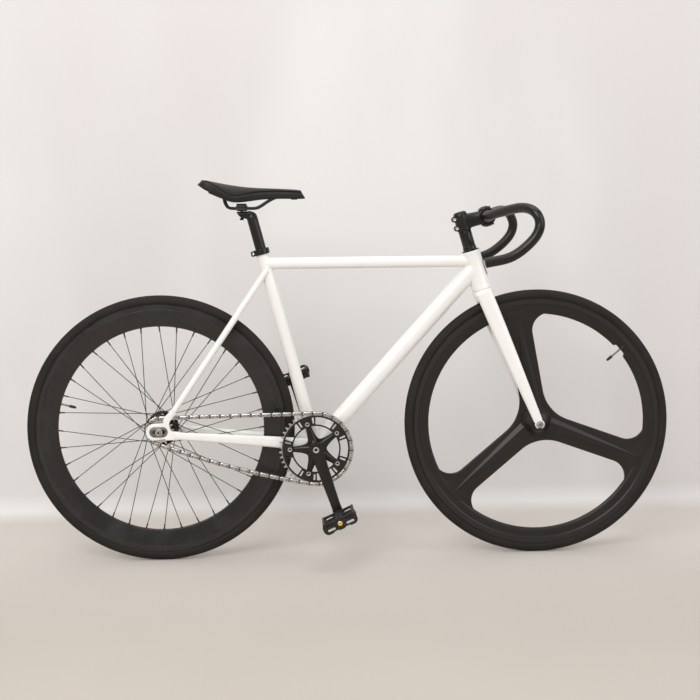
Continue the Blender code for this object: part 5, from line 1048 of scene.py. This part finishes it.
def makeRearHub():
    barrel = mm(
        (-52.8, 5.6), (-52.8, 12.5), (-51.5, 13.5), (-38, 13.5), (-37.6, 19), (-34, 20.5), (-30, 20.5),
        (-27, 17.2),
        (-18, 16.2), (0, 15.8), (20, 16.2), (29, 17.2), (33, 20.5), (37, 20.5), (40, 19), (50, 16.5),
        (52.8, 15), (52.8, 5.6))
    shape = ring(eased(barrel, 0.0009, 3), rearAxle, alongY, 64)
    shape.grid(lathe(thread(-0.0505, -0.04, 23, 0.01345, 0.0002), rearAxle, alongY, 48))
    centre, half = rearAxle[[0, 2]], lacing["flangeHalf"]
    holes = [circle(spot, 0.0052, 20) for spot in arc(centre, 0.0272, radians(30), radians(330), 5)]
    loops = [circle(centre, lacing["flangeRadius"], 72), *holes, circle(centre, 0.015, 36)]
    for middle in (lacing["right"], lacing["left"]):
        plate(loops, middle - half, middle + half, 0.0005, shape)
    piece("rear_hub_shell", shape, "rear_wheel", "alloy", "rear_hub_and_spokes", slot="spoke_black")


# Chain drive. Pins stand one pitch apart: in the ring's gaps, straight to the cog, round it, and
# back along a shallow arc whose length is what the lower run has to spare.

drive = dict(
    pitch=0.0127, ringTeeth=44, cogTeeth=16, line=-0.0465, roller=0.0039, plateHalf=0.0051, waist=0.0046,
    toothHalf=0.0013, toothTip=0.0034, toothSeat=0.00415, innerGap=0.00175, innerPlate=0.0012,
    outerGap=0.00305, outerPlate=0.0011,
)
crank = dict(
    length=0.17, angle=radians(-71.5), inner=0.0535, thick=0.0125, splay=0.0085, boltCircle=0.065, tip=0.007,
    spiderThick=0.005, arms=5,
)
armTurn = 2 * pi / crank["arms"]


def pitchRadius(teeth):
    return drive["pitch"] / (2 * sin(pi / teeth))


def chainPins():
    ringMiddle, cog, pitch = bottomBracket[[0, 2]], rearAxle[[0, 2]], drive["pitch"]
    teeth, cogTeeth = drive["ringTeeth"], drive["cogTeeth"]
    ringRadius, cogRadius = pitchRadius(teeth), pitchRadius(cogTeeth)
    between = ringMiddle - cog
    length = np.linalg.norm(between)
    lean = asin((ringRadius - cogRadius) / length)
    heading = atan2(between[1], between[0])
    upper, lower = heading + pi / 2 + lean, heading - pi / 2 - lean
    wrap = floor((upper - lower) / (2 * pi / teeth))
    onRing = arc(ringMiddle, ringRadius, upper, upper - wrap * 2 * pi / teeth, wrap)
    flat = floor(sqrt(length**2 - (ringRadius - cogRadius) ** 2) / pitch)
    reach, toCog = flat * pitch, cog - onRing[0]
    far = np.linalg.norm(toCog)
    corner = (reach**2 + far**2 - cogRadius**2) / (2 * reach * far)
    swing = atan2(toCog[1], toCog[0]) - atan2(sqrt(1 - corner**2), corner)
    onTop = onRing[0] + np.arange(flat, 0, -1)[:, None] * pitch * (cos(swing), sin(swing))
    landing = atan2(*(onTop[0] - cog)[::-1])
    cogStep = 2 * pi / cogTeeth
    cogWrap = floor((lower + 2 * pi - landing) / cogStep)
    onCog = arc(cog, cogRadius, landing + cogWrap * cogStep, landing + cogStep, cogWrap - 1)
    pitches = geometry["chainstay"] / pitch
    half = (2 * pitches + (teeth + cogTeeth) / 2 + ((teeth - cogTeeth) / (2 * pi)) ** 2 / pitches) / 2
    spare = 2 * round(half) - wrap - flat - cogWrap
    span = onCog[0] - onRing[-1]
    ratio = min(np.linalg.norm(span) / pitch, spare - 1e-6)
    # The lower run bends by the same angle at each pin. Halving finds the bend that spans it.
    low, high = 1e-6, 0.2
    for _ in range(60):
        bend = (low + high) / 2
        if sin(spare * bend / 2) / sin(bend / 2) > ratio:
            low = bend
        else:
            high = bend
    headings = atan2(span[1], span[0]) + bend * (spare - 1) / 2 - bend * np.arange(spare - 1)
    back = onRing[-1] + pitch * np.cumsum(np.stack([np.cos(headings), np.sin(headings)], 1), 0)
    return np.vstack([onCog, onTop, onRing, back]), landing, upper


# Links: two rounds joined by a waist, drawn once and copied; rollers and pin heads on each pin. The inner
# plates and rollers take a dark copy of the chain steel, as painted shade between the outer plates.
def makeChain(pins):
    following, line, mouth = np.roll(pins, -1, 0), drive["line"], radians(52)
    along = np.insert(units(following - pins), 1, 0, 1)
    turns = np.stack([along, np.broadcast_to(alongY, along.shape), np.cross(along, alongY)], 2)
    middle = np.insert((pins + following) / 2, 1, line, 1)
    end, half, waist = drive["pitch"] / 2, drive["plateHalf"], drive["waist"]
    right = arc((end, 0), half, mouth - pi, pi - mouth, 7)
    left = arc((-end, 0), half, mouth, 2 * pi - mouth, 7)
    loop = np.vstack([right, [(0, waist)], left, [(0, -waist)]])
    # Painted shade: the inner plates take the dark copy of the chain steel, the outer plates the plain one.
    for outer, name, look, near, thick in (
        (0, "chain_inner_plates", "link", drive["innerGap"], drive["innerPlate"]),
        (1, "chain_outer_plates", "chain", drive["outerGap"], drive["outerPlate"]),
    ):
        shape = Shape()
        for side in (-1, 1):
            layers = ((near, (1, 1)), (near + thick - 0.0003, (1, 1)), (near + thick, (0.982, 0.912)))
            rings = [np.insert(loop * shrink, 1, side * y, 1) for y, shrink in layers]
            shape.copies(Shape().grid(np.array(rings)), turns[outer::2], middle[outer::2])
        piece(name, shape, "frame", look, "chain", smooth=40)
    roller = drive["roller"]
    rows = [(0.0016, roller), (0.0017, 0.0017), (0.0042, 0.0017), (0.0044, 0.0017), (0.0047, 0.0012)]
    rows = [(-y, radius) for y, radius in rows[::-1]] + rows
    roller = Shape().grid(lathe(rows, origin, alongY, 10))
    rollers = Shape().copies(roller, [np.eye(3)] * len(pins), np.insert(pins, 1, line, 1))
    # Painted shade: the rollers take the dark copy of the chain steel.
    piece("chain_rollers", rollers, "frame", "link", "chain")


# Sprocket outline: a round seat for each roller, straight flanks and a narrow flat tip.
def toothLoop(centre, teeth, first):
    radius, step, seatRadius = pitchRadius(teeth), 2 * pi / teeth, drive["toothSeat"]
    tip = radius + drive["toothTip"]
    bow = np.linspace(radians(-58), radians(58), 7)
    across, down = seatRadius * np.sin(bow), radius - seatRadius * np.cos(bow)
    flank = np.array([(-0.0017, 0.0008), (-0.0007, 0), (0.0007, 0), (0.0017, 0.0008)])
    angle = np.concatenate([np.arctan2(across, down), step / 2 + flank[:, 0] / tip])
    reach = np.tile(np.concatenate([np.hypot(across, down), tip - flank[:, 1]]), teeth)
    every = first + (np.arange(teeth)[:, None] * step + angle[None]).ravel()
    return centre + np.column_stack([reach * np.cos(every), reach * np.sin(every)])


ringSizes = dict(
    inner=0.0575, window=(0.0614, 0.0796), windowHalf=radians(17.5), slot=(0.0642, 0.0786),
    slotHalf=radians(1.7), slotAt=radians(13.5),
)


# A window between two radii and two angles, with its four corners rounded.
def windowLoop(centre, radii, middle, half, steps, reach):
    outer = arc(centre, radii[1], middle - half, middle + half, steps)
    loop = np.vstack([outer, arc(centre, radii[0], middle + half, middle - half, steps)])
    cut = np.full(len(loop), 0.0001)
    cut[[0, steps, steps + 1, -1]] = reach
    return softened(loop, cut, 4)


def makeSprockets(cogPin, ringPin):
    line, half, centre = drive["line"], drive["toothHalf"], bottomBracket[[0, 2]]
    loops = [toothLoop(centre, drive["ringTeeth"], ringPin), circle(centre, ringSizes["inner"], 96)]
    for k in range(crank["arms"]):
        bolt = crank["angle"] + armTurn * (k + 0.5)
        loops.append(windowLoop(centre, ringSizes["window"], bolt + armTurn / 2, ringSizes["windowHalf"], 10,
            0.0022))
        for side in (-1, 1):
            spot = bolt + side * ringSizes["slotAt"]
            loops.append(windowLoop(centre, ringSizes["slot"], spot, ringSizes["slotHalf"], 2, 0.002))
    shape = plate(loops, line - half, line + half, 0.00045)
    piece("chainring_plate", shape, "crank", "ring", "chainring", smooth=30)
    centre = rearAxle[[0, 2]]
    loops = [toothLoop(centre, drive["cogTeeth"], cogPin), circle(centre, 0.0139, 40)]
    piece("cog_teeth", plate(loops, line - half, line + half, 0.0004), "rear_wheel", "steel", "cog",
        smooth=30)


pins, cogPin, ringPin = chainPins()
makeSpokes()
makeRearHub()
makeChain(pins)
makeSprockets(cogPin, ringPin)
print("drive made")


# A bolt head with a six-sided socket in its face, standing on its seat, with a shank below.
def socketHead(shape, seat, axis, radius, height, shank, deep, floor=None, key=0.52):
    key = radius * key
    floor = height * 0.3 if floor is None else floor
    head = [
        (0, radius, 0), (height - radius * 0.12, radius, 0), (height - radius * 0.03, radius * 0.96, 0),
        (height, radius * 0.84, 0), (height, key * 1.18, 0), (height - radius * 0.06, key * 1.06, 1),
        (floor + height * 0.08, key, 1), (floor, key * 0.3, 0), (floor - 0.00005, 0, 0),
    ]
    for rows in (head, [(-deep, 0, 0), (-deep, shank, 0), (0, shank, 0), (0, radius, 0)]):
        shape.grid(lathe(rows, seat, axis, 24), capped=False)
    return shape


# An axle's end: a chamfered nut on a washer, and the threaded end that stands out of it.
def axleEnd(name, centre, axis, inner, radius, reach, body):
    nut = dict(washer=0.0092, thick=0.002, corner=0.0145 / 2 / cos(pi / 6), height=0.008)
    washer, corner = nut["washer"], nut["corner"]
    low, high = inner + nut["thick"], inner + nut["thick"] + nut["height"]
    rows = [
        (inner, radius + 0.0002, 0), (inner, washer, 0), (low - 0.0004, washer, 0), (low, washer - 0.0004, 0),
        (low, corner * 0.93, 0), (low + 0.0008, corner, 1), (high - 0.0008, corner, 1),
        (high, corner * 0.9, 0),
        (high, radius + 0.001, 0), (high - 0.001, radius + 0.0002, 0),
    ]
    end, side = name.split("_")
    piece("nut_" + name, ring(rows, centre, axis, 36), body, "steel", end + "_axle_nut_" + side)
    turns = thread(inner + 0.0005, reach - 0.001, 25, radius - 0.0002, 0.0002)
    tip = [(reach - 0.0002, radius - 0.001), (reach, radius - 0.0022), (reach, 0)]
    rows = np.vstack([[(inner, 0), (inner, 0.001)], turns, tip])
    piece(end + "_axle_end_" + side, plug(rows, centre, axis, 28), body, "steel")


def makeAxles():
    insert = dict(half=0.0025, middle=0.06355)
    for side, name in sides:
        axleEnd("rear_" + name, rearAxle, alongY * side, 0.0671, 0.005, 0.0791, "frame")
        axleEnd("front_" + name, frontAxle, alongY * side, 0.0571, 0.0045, 0.0681, "steering")
        x, z, y = geometry["rearAxleX"], geometry["wheelRadius"], side * insert["middle"]
        loops = [slotLoop(x, z, 0.0444, 0.0254), slotLoop(x, z, 0.032, 0.0106)]
        shape = plate(loops, y - insert["half"], y + insert["half"], 0.0005)
        piece("track_insert_" + name, shape, "frame", "badge", "track_end_insert_" + name)


# Cranks: each arm is a squared superellipse carried from boss to pedal eye, splayed outwards. A row
# is its place along the arm, thousandths of the splay, and its half width and half thickness.
def crankArm(angle, side):
    out, flat = polar(angle)
    rows = smoothRows(mm(
        (-12, 0, 13, 5.8), (0, 0, 16.2, 6.2), (20, 0, 16, 6.25), (45, 80, 14.8, 6.1), (85, 450, 13.6, 5.9),
        (125, 800, 12.4, 6), (150, 970, 12.1, 6.15), (170, 1000, 13.4, 6.15), (178, 1000, 11, 5.8),
        (182.5, 1000, 5.5, 4.8)), 8)
    middle = crank["inner"] + crank["splay"] * rows[:, 1:2] + crank["thick"] / 2
    path = bottomBracket + rows[:, :1] * out + side * middle * alongY
    shape = Shape().grid(sections(path, flat, rows[:, 2], alongY, rows[:, 3], 3.6))
    boss = mm((40.5, 8.8), (40.5, 15), (50.5, 17), (55.5, 19), (65.6, 19), (65.8, 11.2), (62, 10.5),
        (62, 8.8))
    eye = mm((61.8, 7.5), (61.8, 12.8), (74.4, 12.8), (74.4, 7.5))
    shape.grid(lathe(eased(boss, 0.0012, 3), bottomBracket, alongY * side, 56), wrapRows=True)
    spot = bottomBracket + crank["length"] * out
    return shape.grid(lathe(eased(eye, 0.0008), spot, alongY * side, 40), wrapRows=True)


def makeCranks():
    piece("crank_arm_left", crankArm(crank["angle"] + pi, 1), "crank", "gloss", "crank_left")
    piece("crank_arm_right", crankArm(crank["angle"], -1), "crank", "gloss", "crank_right")
    # The spider's outline: round each bolt, and down the arm's sides to the hollow between two arms.
    centre, outline, reach = bottomBracket[[0, 2]], [], []
    arm = ((0.05, 0.0076), (0.034, 0.01))
    for k in range(crank["arms"]):
        angle = crank["angle"] + armTurn * (k + 0.5)
        tip = centre + crank["boltCircle"] * polar(angle)[0][[0, 2]]
        outline += list(arc(tip, crank["tip"], angle - pi / 2, angle + pi / 2, 8))
        for turn, sign, pairs in ((0, 1, arm), (armTurn, -1, arm[::-1])):
            along, beside = (way[[0, 2]] for way in polar(angle + turn))
            outline += [centre + q * along + sign * w * beside for q, w in pairs]
            if not turn:
                outline.append(centre + 0.025 * polar(angle + armTurn / 2)[0][[0, 2]])
        reach += [0.001] * 9 + [0.006, 0.008, 0.0065, 0.008, 0.006]
    near = drive["line"] + drive["toothHalf"] + 0.0003
    shape = plate([softened(outline, reach, 4)], near, near + crank["spiderThick"], 0.0014)
    # Each arm's outer face carries a low rib towards the boss, where the casting thickens.
    rib = smoothRows(mm((12, 10, 10), (24, 8.5, 5.8), (40, 6.6, 3.5), (54.5, 4.5, 2.4)), 6)
    arms = [polar(crank["angle"] + armTurn * (k + 0.5))[0] for k in range(crank["arms"])]
    for along in arms:
        path = bottomBracket + rib[:, :1] * along + (drive["line"] + 0.002) * alongY
        shape.grid(sweep(path, rib[:, 1], rib[:, 2], 2.2, 24, alongY))
    piece("crank_spider", shape, "crank", "gloss", "crank_right", smooth=42)
    for k, along in enumerate(arms, 1):
        face = drive["line"] - drive["toothHalf"] - 0.0002
        seat = bottomBracket + crank["boltCircle"] * along + face * alongY
        bolt = socketHead(Shape(), seat, -alongY, 0.0056, 0.0017, 0.0042, 0.007, -0.0045, 0.56)
        piece("ring_bolt_%d" % k, bolt, "crank", "steel", "chainring_bolt_%d" % k)
    face = crank["inner"] + crank["thick"] - 0.003
    for side, name in sides:
        seat = bottomBracket + alongY * side * face
        bolt = socketHead(Shape(), seat, alongY * side, 0.008, 0.004, 0.006, 0.002)
        piece("arm_bolt_" + name, bolt, "crank", "steel", "crank_bolt_" + name)


# Pedals: a toothed cage round a fluted barrel.

pedal = dict(
    length=0.088, height=0.03, tilt=radians(24), start=0.0805, end=0.1755, plate=0.0035, barrel=0.0105,
)


def makePedal(side, name):
    out, body = alongY * side, "pedal_" + name
    axis = bottomBracket + crank["length"] * polar(crank["angle"] + (pi if side > 0 else 0))[0]
    forward, upward = polar(pedal["tilt"])
    half, tall, start, end = pedal["length"] / 2, pedal["height"] / 2, pedal["start"], pedal["end"]

    def tilted(made):
        return axis + made[:, :1] * forward + made[:, 2:] * upward + made[:, 1:2] * alongY

    # The outer plate: three teeth above and three below, two ends, four slots.
    outline, reach = [], []
    for edge in (-1, 1):
        for k in range(3):
            middle = edge * (pedal["length"] * (k + 0.5) / 3 - half)
            teeth = ((-0.01, 0.0125), (-0.0062, 0.015), (0.0062, 0.015), (0.01, 0.0125))
            outline += [(-middle - x * edge, edge * rise) for x, rise in teeth]
        outline += [(-edge * half, edge * tall * 0.45), (-edge * half, -edge * tall * 0.45)]
        reach += [0.0012] * 12 + [0.003] * 2
    outer = [softened(outline, reach, 3)]
    outer += [slotLoop(x, z, 0.02, 0.0058, 8) for x in (-0.0246, 0.0246) for z in (-0.0056, 0.0056)]
    inner = [softened([(-0.04, -0.0108), (0.04, -0.0108), (0.04, 0.0108), (-0.04, 0.0108)], 0.004)]
    inner += [slotLoop(x, 0, 0.02, 0.009, 8) for x in (-0.025, 0.025)]
    shape = Shape()
    for loops, low in ((outer, end - pedal["plate"]), (inner, start)):
        low, high = sorted((side * low, side * (low + pedal["plate"])))
        plate(loops, low, high, 0.0007, shape, tilted)
    for x in (-0.0385, 0.0385):
        for z in (-0.0092, 0.0092):
            spot = axis + forward * x + upward * z
            path = straight(spot + out * (start + 0.001), spot + out * (end - 0.001), 3)
            shape.grid(sweep(path, 0.003, 0.0028, 4.0, 20, upward))
    for share in (0.32, 0.68):
        spot = axis + out * (start + (end - start) * share)
        for x in (-1, 1):
            path = straight(spot + forward * x * 0.009, spot + forward * x * 0.038, 3)
            shape.grid(sweep(path, 0.0022, 0.008, 4.0, 20, upward))
    # Barrel: a lathe with shallow rings, and the boss that the cap closes.
    y = np.linspace(start + 0.0006, end - 0.004, 41)
    radius = pedal["barrel"] - 0.0006 + 0.0006 * np.cos(np.linspace(0, 12 * pi, 41))
    rows = np.vstack([
        [(y[0], 0.0062)], np.column_stack([y, radius]),
        [(end - 0.0004, 0.0086), (end + 0.0001, 0.008), (end + 0.0001, 0.0063), (end - 0.0036, 0.0063),
         (end - 0.0036, 0.006), (start + 0.001, 0.006)],
    ])
    shape.grid(lathe(rows, axis, out, 40), wrapRows=True)
    piece("pedal_cage_" + name, shape, body, "plastic", body, smooth=38)
    cap = mm((-3.5, 0), (-3.5, 6), (0.3, 6), (1.1, 4.6), (1.1, 2.6), (0.4, 2.2), (0.4, 0)) + (end, 0)
    piece("pedal_end_cap_" + name, plug(eased(cap, 0.0003), axis, out, 36), body, "brass",
        "pedal_cap_" + name)
    face = crank["inner"] + crank["splay"] + crank["thick"]
    rows = [
        (face - 0.011, 0, 0), (face - 0.011, 0.0065, 0), (face + 0.0003, 0.0065, 0),
        (face + 0.0003, 0.0079, 0),
        (face + 0.0008, 0.008, 1), (start - 0.0012, 0.008, 1), (start - 0.0006, 0.0074, 0),
        (start - 0.0006, 0.005, 0), (end - 0.016, 0.005, 0), (end - 0.016, 0, 0),
    ]
    piece("pedal_axle_" + name, plug(rows, axis, out), "crank", "steel", "pedal_spindle_" + name)


# Bottom bracket cups with the notches that turn them, and the cog's lockring with four wider ones.
def makeCups():
    rows = mm((24, 9), (24, 16.6), (34.3, 16.6), (34.3, 18.8), (34.9, 19), (36.5, 19), (37.3, 18.3),
        (37.3, 13),
              (36.5, 12.4), (36.5, 9))
    notch = (np.arange(96) % 8) < 3
    for side, name in sides:
        skin = lathe(rows, bottomBracket, alongY * side, 96)
        for row, depth in ((4, 0.0016), (5, 0.0018), (6, 0.0018)):
            skin[row, notch] -= depth * spin(alongY * side, 96)[notch]
        piece("bracket_cup_" + name, Shape().grid(skin, wrapRows=True), "frame", "steel",
              "bottom_bracket_cup_" + name, smooth=30)


def makeLockring():
    rows = eased(mm((48.1, 13.9), (48.1, 18.5), (52.1, 18.5), (52.1, 13.9)), 0.0006)
    notch = (np.arange(96) % 24) < 4
    skin = lathe(rows, rearAxle, -alongY, 96) - rearAxle
    shrink = np.where((rows[:, 1:] > 0.0175) & notch, 0.86, 1.0)
    skin[..., 0] *= shrink
    skin[..., 2] *= shrink
    shape = Shape().grid(rearAxle + skin, wrapRows=True)
    piece("lockring_notched", shape, "rear_wheel", "steel", "cog_lockring", smooth=30)


makeAxles()
makeCranks()
makePedal(-1, "right")
makePedal(1, "left")
makeCups()
makeLockring()
print("cranks and pedals made")


# Cockpit: cover, spacer, stem, faceplate, cap and bolts.

def makeHeadset():
    cover = mm((0, 14.8), (0, 22.2), (1.8, 22.2), (2.2, 21.8), (3.4, 17.6), (4.2, 17.2), (11, 16.8),
        (12.2, 16.2),
               (12.2, 14.8))
    spacer = mm((0, 14.6), (0, 16), (40, 16), (40, 14.6))
    piece("headset_top_cover", ring(eased(cover, 0.0004), headTop + 0.0003 * headAxis, headAxis), "steering",
          "gloss", "headset_cover")
    piece("steerer_spacer_tube", ring(eased(spacer), headTop + stem["coverHeight"] * headAxis, headAxis, 56),
          "steering", "gloss", "steerer_spacer")


# A lug: an oval drawn out between two distances to the side, its ends a little smaller.
def lug(shape, spot, side, first, a, second, b, run, shrink, squareness):
    ends = np.array([shrink[0], 1, 1, shrink[1]])
    path = spot + side * np.array(run)[:, None] * alongY
    shape.grid(sections(path, first, ends * a, second, ends * b, squareness))


def makeStem():
    rows = eased(mm((0, 14.6), (0, 17.6), (1.4, 17.8), (40, 17.8), (43, 16.6), (43, 14.6)), 0.0012, 3)
    shape, front = ring(rows, stemLow, headAxis, 56), Shape()
    rows = smoothRows(mm((2, 16, 19.2, 3.6), (16, 15.2, 18.6, 3.2), (32, 15.2, 17.6, 3.0),
        (46, 16.8, 17.4, 3.0),
                         (57.5, 19, 17.8, 3.2), plain=1), 6)
    path = stemMiddle + rows[:, :1] * stemReach
    shape.grid(sections(path, alongY, rows[:, 1], stemLift, rows[:, 2], rows[:, 3], 48))
    # The bar sits in two half rings, one on the body and one on the front plate, split square to the reach.
    half, bore, skin = stem["ringHalf"], stem["ringBore"], stem["ring"]
    loop = softened([(-half, bore), (-half, skin), (half, skin), (half, bore)], 0.0016, 3)
    for target, first, last in ((shape, 82, 278), (front, -81, 81)):
        angle = np.radians(np.linspace(first, last, 33))[:, None, None]
        around = np.cos(angle) * stemReach + np.sin(angle) * stemLift
        target.grid(barCentre + loop[:, :1] * alongY + loop[:, 1:] * around)
    # Ears for the screws: place along the reach, and shares of the half width and the half height.
    ears = (
        (shape,
            [(-0.0165, 0.8, 0.1), (-0.013, 0.92, 0.55), (-0.008, 0.98, 0.92), (-0.002, 1, 1),
            (0.0026, 0.97, 0.98)]),
        (front,
            [(0.0034, 0.97, 0.98), (0.005, 1, 0.92), (0.0078, 0.98, 0.7), (0.01, 0.92, 0.4),
            (0.0112, 0.84, 0.1)]),
    )
    for side in (1, -1):
        for target, rows in ears:
            rows = smoothRows(rows, 4)
            path = barCentre + stemLift * side * 0.0198 + rows[:, :1] * stemReach
            target.grid(sections(path, alongY, 0.0222 * rows[:, 1], stemLift, 0.006 * rows[:, 2], 3.0))
    # A lug each side of the slit at both bolts.
    for side in (-1, 1):
        for height in (-0.0116, 0.0116):
            spot = stemMiddle + headBack * 0.0152 + headAxis * height
            lug(shape, spot, side, -headBack, 0.0092, headAxis, 0.0072, (0.001, 0.0018, 0.0068, 0.0079),
                (0.92, 0.88), 2.6)
    piece("stem_body", shape, "steering", "satin", "stem", smooth=40)
    piece("stem_front_plate", front, "steering", "satin", "stem_faceplate", smooth=40)
    bolts = Shape()
    for lift in (-0.0206, 0.0206):
        for out in (-0.015, 0.015):
            seat = barCentre + stemReach * 0.0084 + stemLift * lift + alongY * out
            socketHead(bolts, seat, stemReach, 0.003, 0.004, 0.0018, 0.006)
    piece("front_plate_bolts", bolts, "steering", "link", "stem_faceplate", slot="steel")
    for height, name in ((0.0116, "upper"), (-0.0116, "lower")):
        seat = stemMiddle + headBack * 0.0178 + headAxis * height - alongY * 0.0083
        bolt = socketHead(Shape(), seat, -alongY, 0.0042, 0.004, 0.0025, 0.017)
        piece("clamp_bolt_" + name, bolt, "steering", "steel", "stem_bolt_" + name)
    rows = eased(mm((0, 0), (0, 16.5), (0.8, 16.6), (2.6, 15.2), (4.2, 13), (5, 10.5), (5.2, 5.8), (3, 5.2),
        (3, 0)), 0.0003)
    cap = plug(rows, stemLow + (stem["clampHeight"] + 0.0003) * headAxis, headAxis, 48)
    piece("stem_cap", cap, "steering", "satin", "stem_top_cap")


# Badge: a superellipse laid round the front of the head tube. Its edge drops to the tube.
def makeBadge():
    badge = dict(half=0.012, tall=0.023, middle=0.055, gap=0.0003, thick=0.001)
    frontward = -headBack

    def layer(share, lift):
        oval = share * sections(np.zeros((1, 3)), frontward, 1, headAxis, 1, 3.0, 64)[0]
        v = badge["middle"] + badge["tall"] * oval @ headAxis
        base = np.interp(v, [0, 0.022, 0.055, 0.1], [0.0248, 0.0242, 0.0229, 0.0235]) + badge["gap"]
        turn = badge["half"] * (oval @ frontward) / base
        radius = base + badge["thick"] * lift
        outwards = np.outer(radius * np.cos(turn), frontward) + np.outer(radius * np.sin(turn), alongY)
        return headBottom + np.outer(v, headAxis) + outwards

    shape = Shape()
    for layers in ([(1.0, 0), (1.0, 0.75), (0.96, 1), (0.5, 1.0), (0.0, 1.0)], [(1.0, 0), (0.0, 0)]):
        shape.grid(np.array([layer(*row) for row in layers]), capped=False)
    piece("badge_plate", shape, "frame", "badge", "head_badge_plate", smooth=40)


makeHeadset()
makeStem()
makeBadge()
print("cockpit made")


# Seat: post and head, rails, jaws, bolts and collar.

def makeSeatpost():
    rows = eased(mm((-300, 11.8), (-300, 13.6), (-6, 13.6), (0, 12.2), (4, 8)), 0.0006)
    shape = Shape().grid(lathe(rows, postTop, seatAxis, 56))
    outline = postTop[[0, 2]] + mm((-37, 7.5), (-28, -6), (-6.5, -12), (10, -18), (14.2, -3), (8.5, 6.2),
        (-4, 10),
                                   (-9, 8.5))
    loop = softened(outline, np.array([3, 6, 8, 4, 8, 10, 5, 3]) / 1000, 5)
    plate([loop], -0.0122, 0.0122, 0.0022, shape)
    piece("seatpost_tube", shape, "seat", "satin", "seatpost", smooth=38)
    rail = mm((-46, 29.7, 40), (-43.5, 27, 26), (-40, 24.2, 12), (-33.5, 22.6, 2.8), (-22, 22, 0), (6, 22, 0),
              (33, 22, 0), (47, 20.2, 5.2), (64, 17.2, 16), (80, 13.6, 24), (95, 10, 27.5), (116, 6, 27.5))
    shape = Shape()
    for side in (-1, 1):
        path = clampSpot + smoothRows(rail * (1, side, 1), 6)
        shape.grid(sweep(path, 0.0035, 0.0035, 2.0, 20, point(-0.4, 0, 1)))
    piece("rail_wires", shape, "seat", "satin", "saddle_rails", smooth=60)
    for name, node, corners, reach, half, bevel in (
        ("clamp_jaw_lower", "lower", mm((-15, -0.3), (-10.8, -6.8), (10.8, -6.6), (15, -0.3)), 0.0018, 0.027,
            0.001),
        ("clamp_jaw_upper", "upper", mm((-15, 0.3), (15, 0.3), (12.6, 8), (-12.6, 8)), 0.0018, 0.027, 0.001),
        ("clamp_nut_block", "upper", mm((-12, 7.9), (10, 7.9), (12.2, 11.7), (-14.2, 11.7)), 0.0012, 0.0085,
            0.0008),
    ):
        loop = softened(clampSpot[[0, 2]] + corners, reach, 4 if half > 0.01 else 3)
        piece(name, plate([loop], -half, half, bevel), "seat", "alloy", "saddle_clamp_" + node, smooth=38)
    spot, low = point(clampSpot[0] - 0.001, 0, 0), postTop[2] - 0.0105
    shape = Shape().grid(lathe([(low, 0.003), (clampSpot[2] + 0.0116, 0.003)], spot, alongZ, 24))
    socketHead(shape, spot + alongZ * (low + 0.002), -alongZ, 0.0048, 0.0045, 0.003, 0.001)
    piece("clamp_bolt_upright", shape, "seat", "darkBolt", "saddle_clamp_bolt")


def makeCollar():
    collar = dict(inner=tubes["seatTube"] + 0.0003, wall=0.004, half=0.00725, drop=0.00165, gap=0.0016)
    inner, outer, half = collar["inner"], collar["inner"] + collar["wall"], collar["half"]
    middle, gap = seatTop - seatAxis * collar["drop"], collar["gap"] / outer
    angle = np.linspace(gap, 2 * pi - gap, 65)[:, None, None]
    loop = softened([(-half, inner), (-half, outer), (half, outer), (half, inner)], 0.0011, 3)
    turned = np.cos(angle) * seatBack + np.sin(angle) * alongY
    shape = Shape().grid(middle + loop[:, :1] * seatAxis + loop[:, 1:] * turned)
    for side in (-1, 1):
        lug(shape, middle + seatBack * (outer - 0.0006), side, seatBack, 0.0078, seatAxis, 0.0068,
            (0.001, 0.002, 0.0064, 0.0074), (0.9, 0.9), 4.5)
    piece("seat_collar_band", shape, "frame", "satin", "seat_collar", smooth=40)
    seat = middle + seatBack * (outer + 0.0012) - alongY * 0.0078
    bolt = socketHead(Shape(), seat, -alongY, 0.0034, 0.0026, 0.0026, 0.016)
    piece("collar_bolt", bolt, "frame", "steel", "seat_collar_bolt")


# Valves: a threaded stem, its small nut and a cap with a rounded end.
def makeValve(name, centre, angle, foot, body):
    out = polar(angle)[0]
    spot = centre + foot * out
    rows = np.vstack([mm((-6, 0), (-6, 2.6), (0.4, 2.6), (0.4, 3), (1.8, 3), (2, 2.6)),
                      thread(0.0022, 0.018, 31, 0.0024, 0.00015), mm((20, 2.2), (26, 2.2), (26.2, 0))])
    piece(name + "_stem", plug(rows, spot, -out, 20), body, "badge", name, slot="steel")
    rows = mm((20.5, 2.3), (20.5, 3.4), (21.2, 3.7), (30, 3.6), (35.5, 3), (37.8, 1.8), (38, 0))
    cap = plug(eased(rows, 0.0004), spot, -out)
    cap.grid(lathe(mm((20.5, 0), (20.5, 2.3)), spot, -out, 24), capped=False)
    piece(name + "_cap", cap, body, "plastic")


# A swelling each side of the rim, where the hole for the valve runs through the casting.
def makeFrontBoss():
    out, beside = polar(casting["valveAngle"])
    rows = smoothRows(mm((-0.2, 4, 3), (0.6, 5.2, 7.4), (4, 5.4, 9.2), (10, 5, 9.6), (14, 3.4, 8.5),
        (15, 1, 6)), 4)
    path = frontAxle + (wheel["frontFoot"] + 0.0062 + rows[:, :1]) * out
    skin = sections(path, beside, rows[:, 1], alongY, rows[:, 2], 2.6)
    piece("front_valve_boss", Shape().grid(skin), "front_wheel", "cast", "front_wheel")


makeSeatpost()
makeCollar()
makeValve("rear_valve", rearAxle, radians(165), wheel["rearFoot"], "rear_wheel")
makeValve("front_valve", frontAxle, casting["valveAngle"], wheel["frontFoot"], "front_wheel")
makeFrontBoss()
print("seat and valves made")


print("all pieces made")
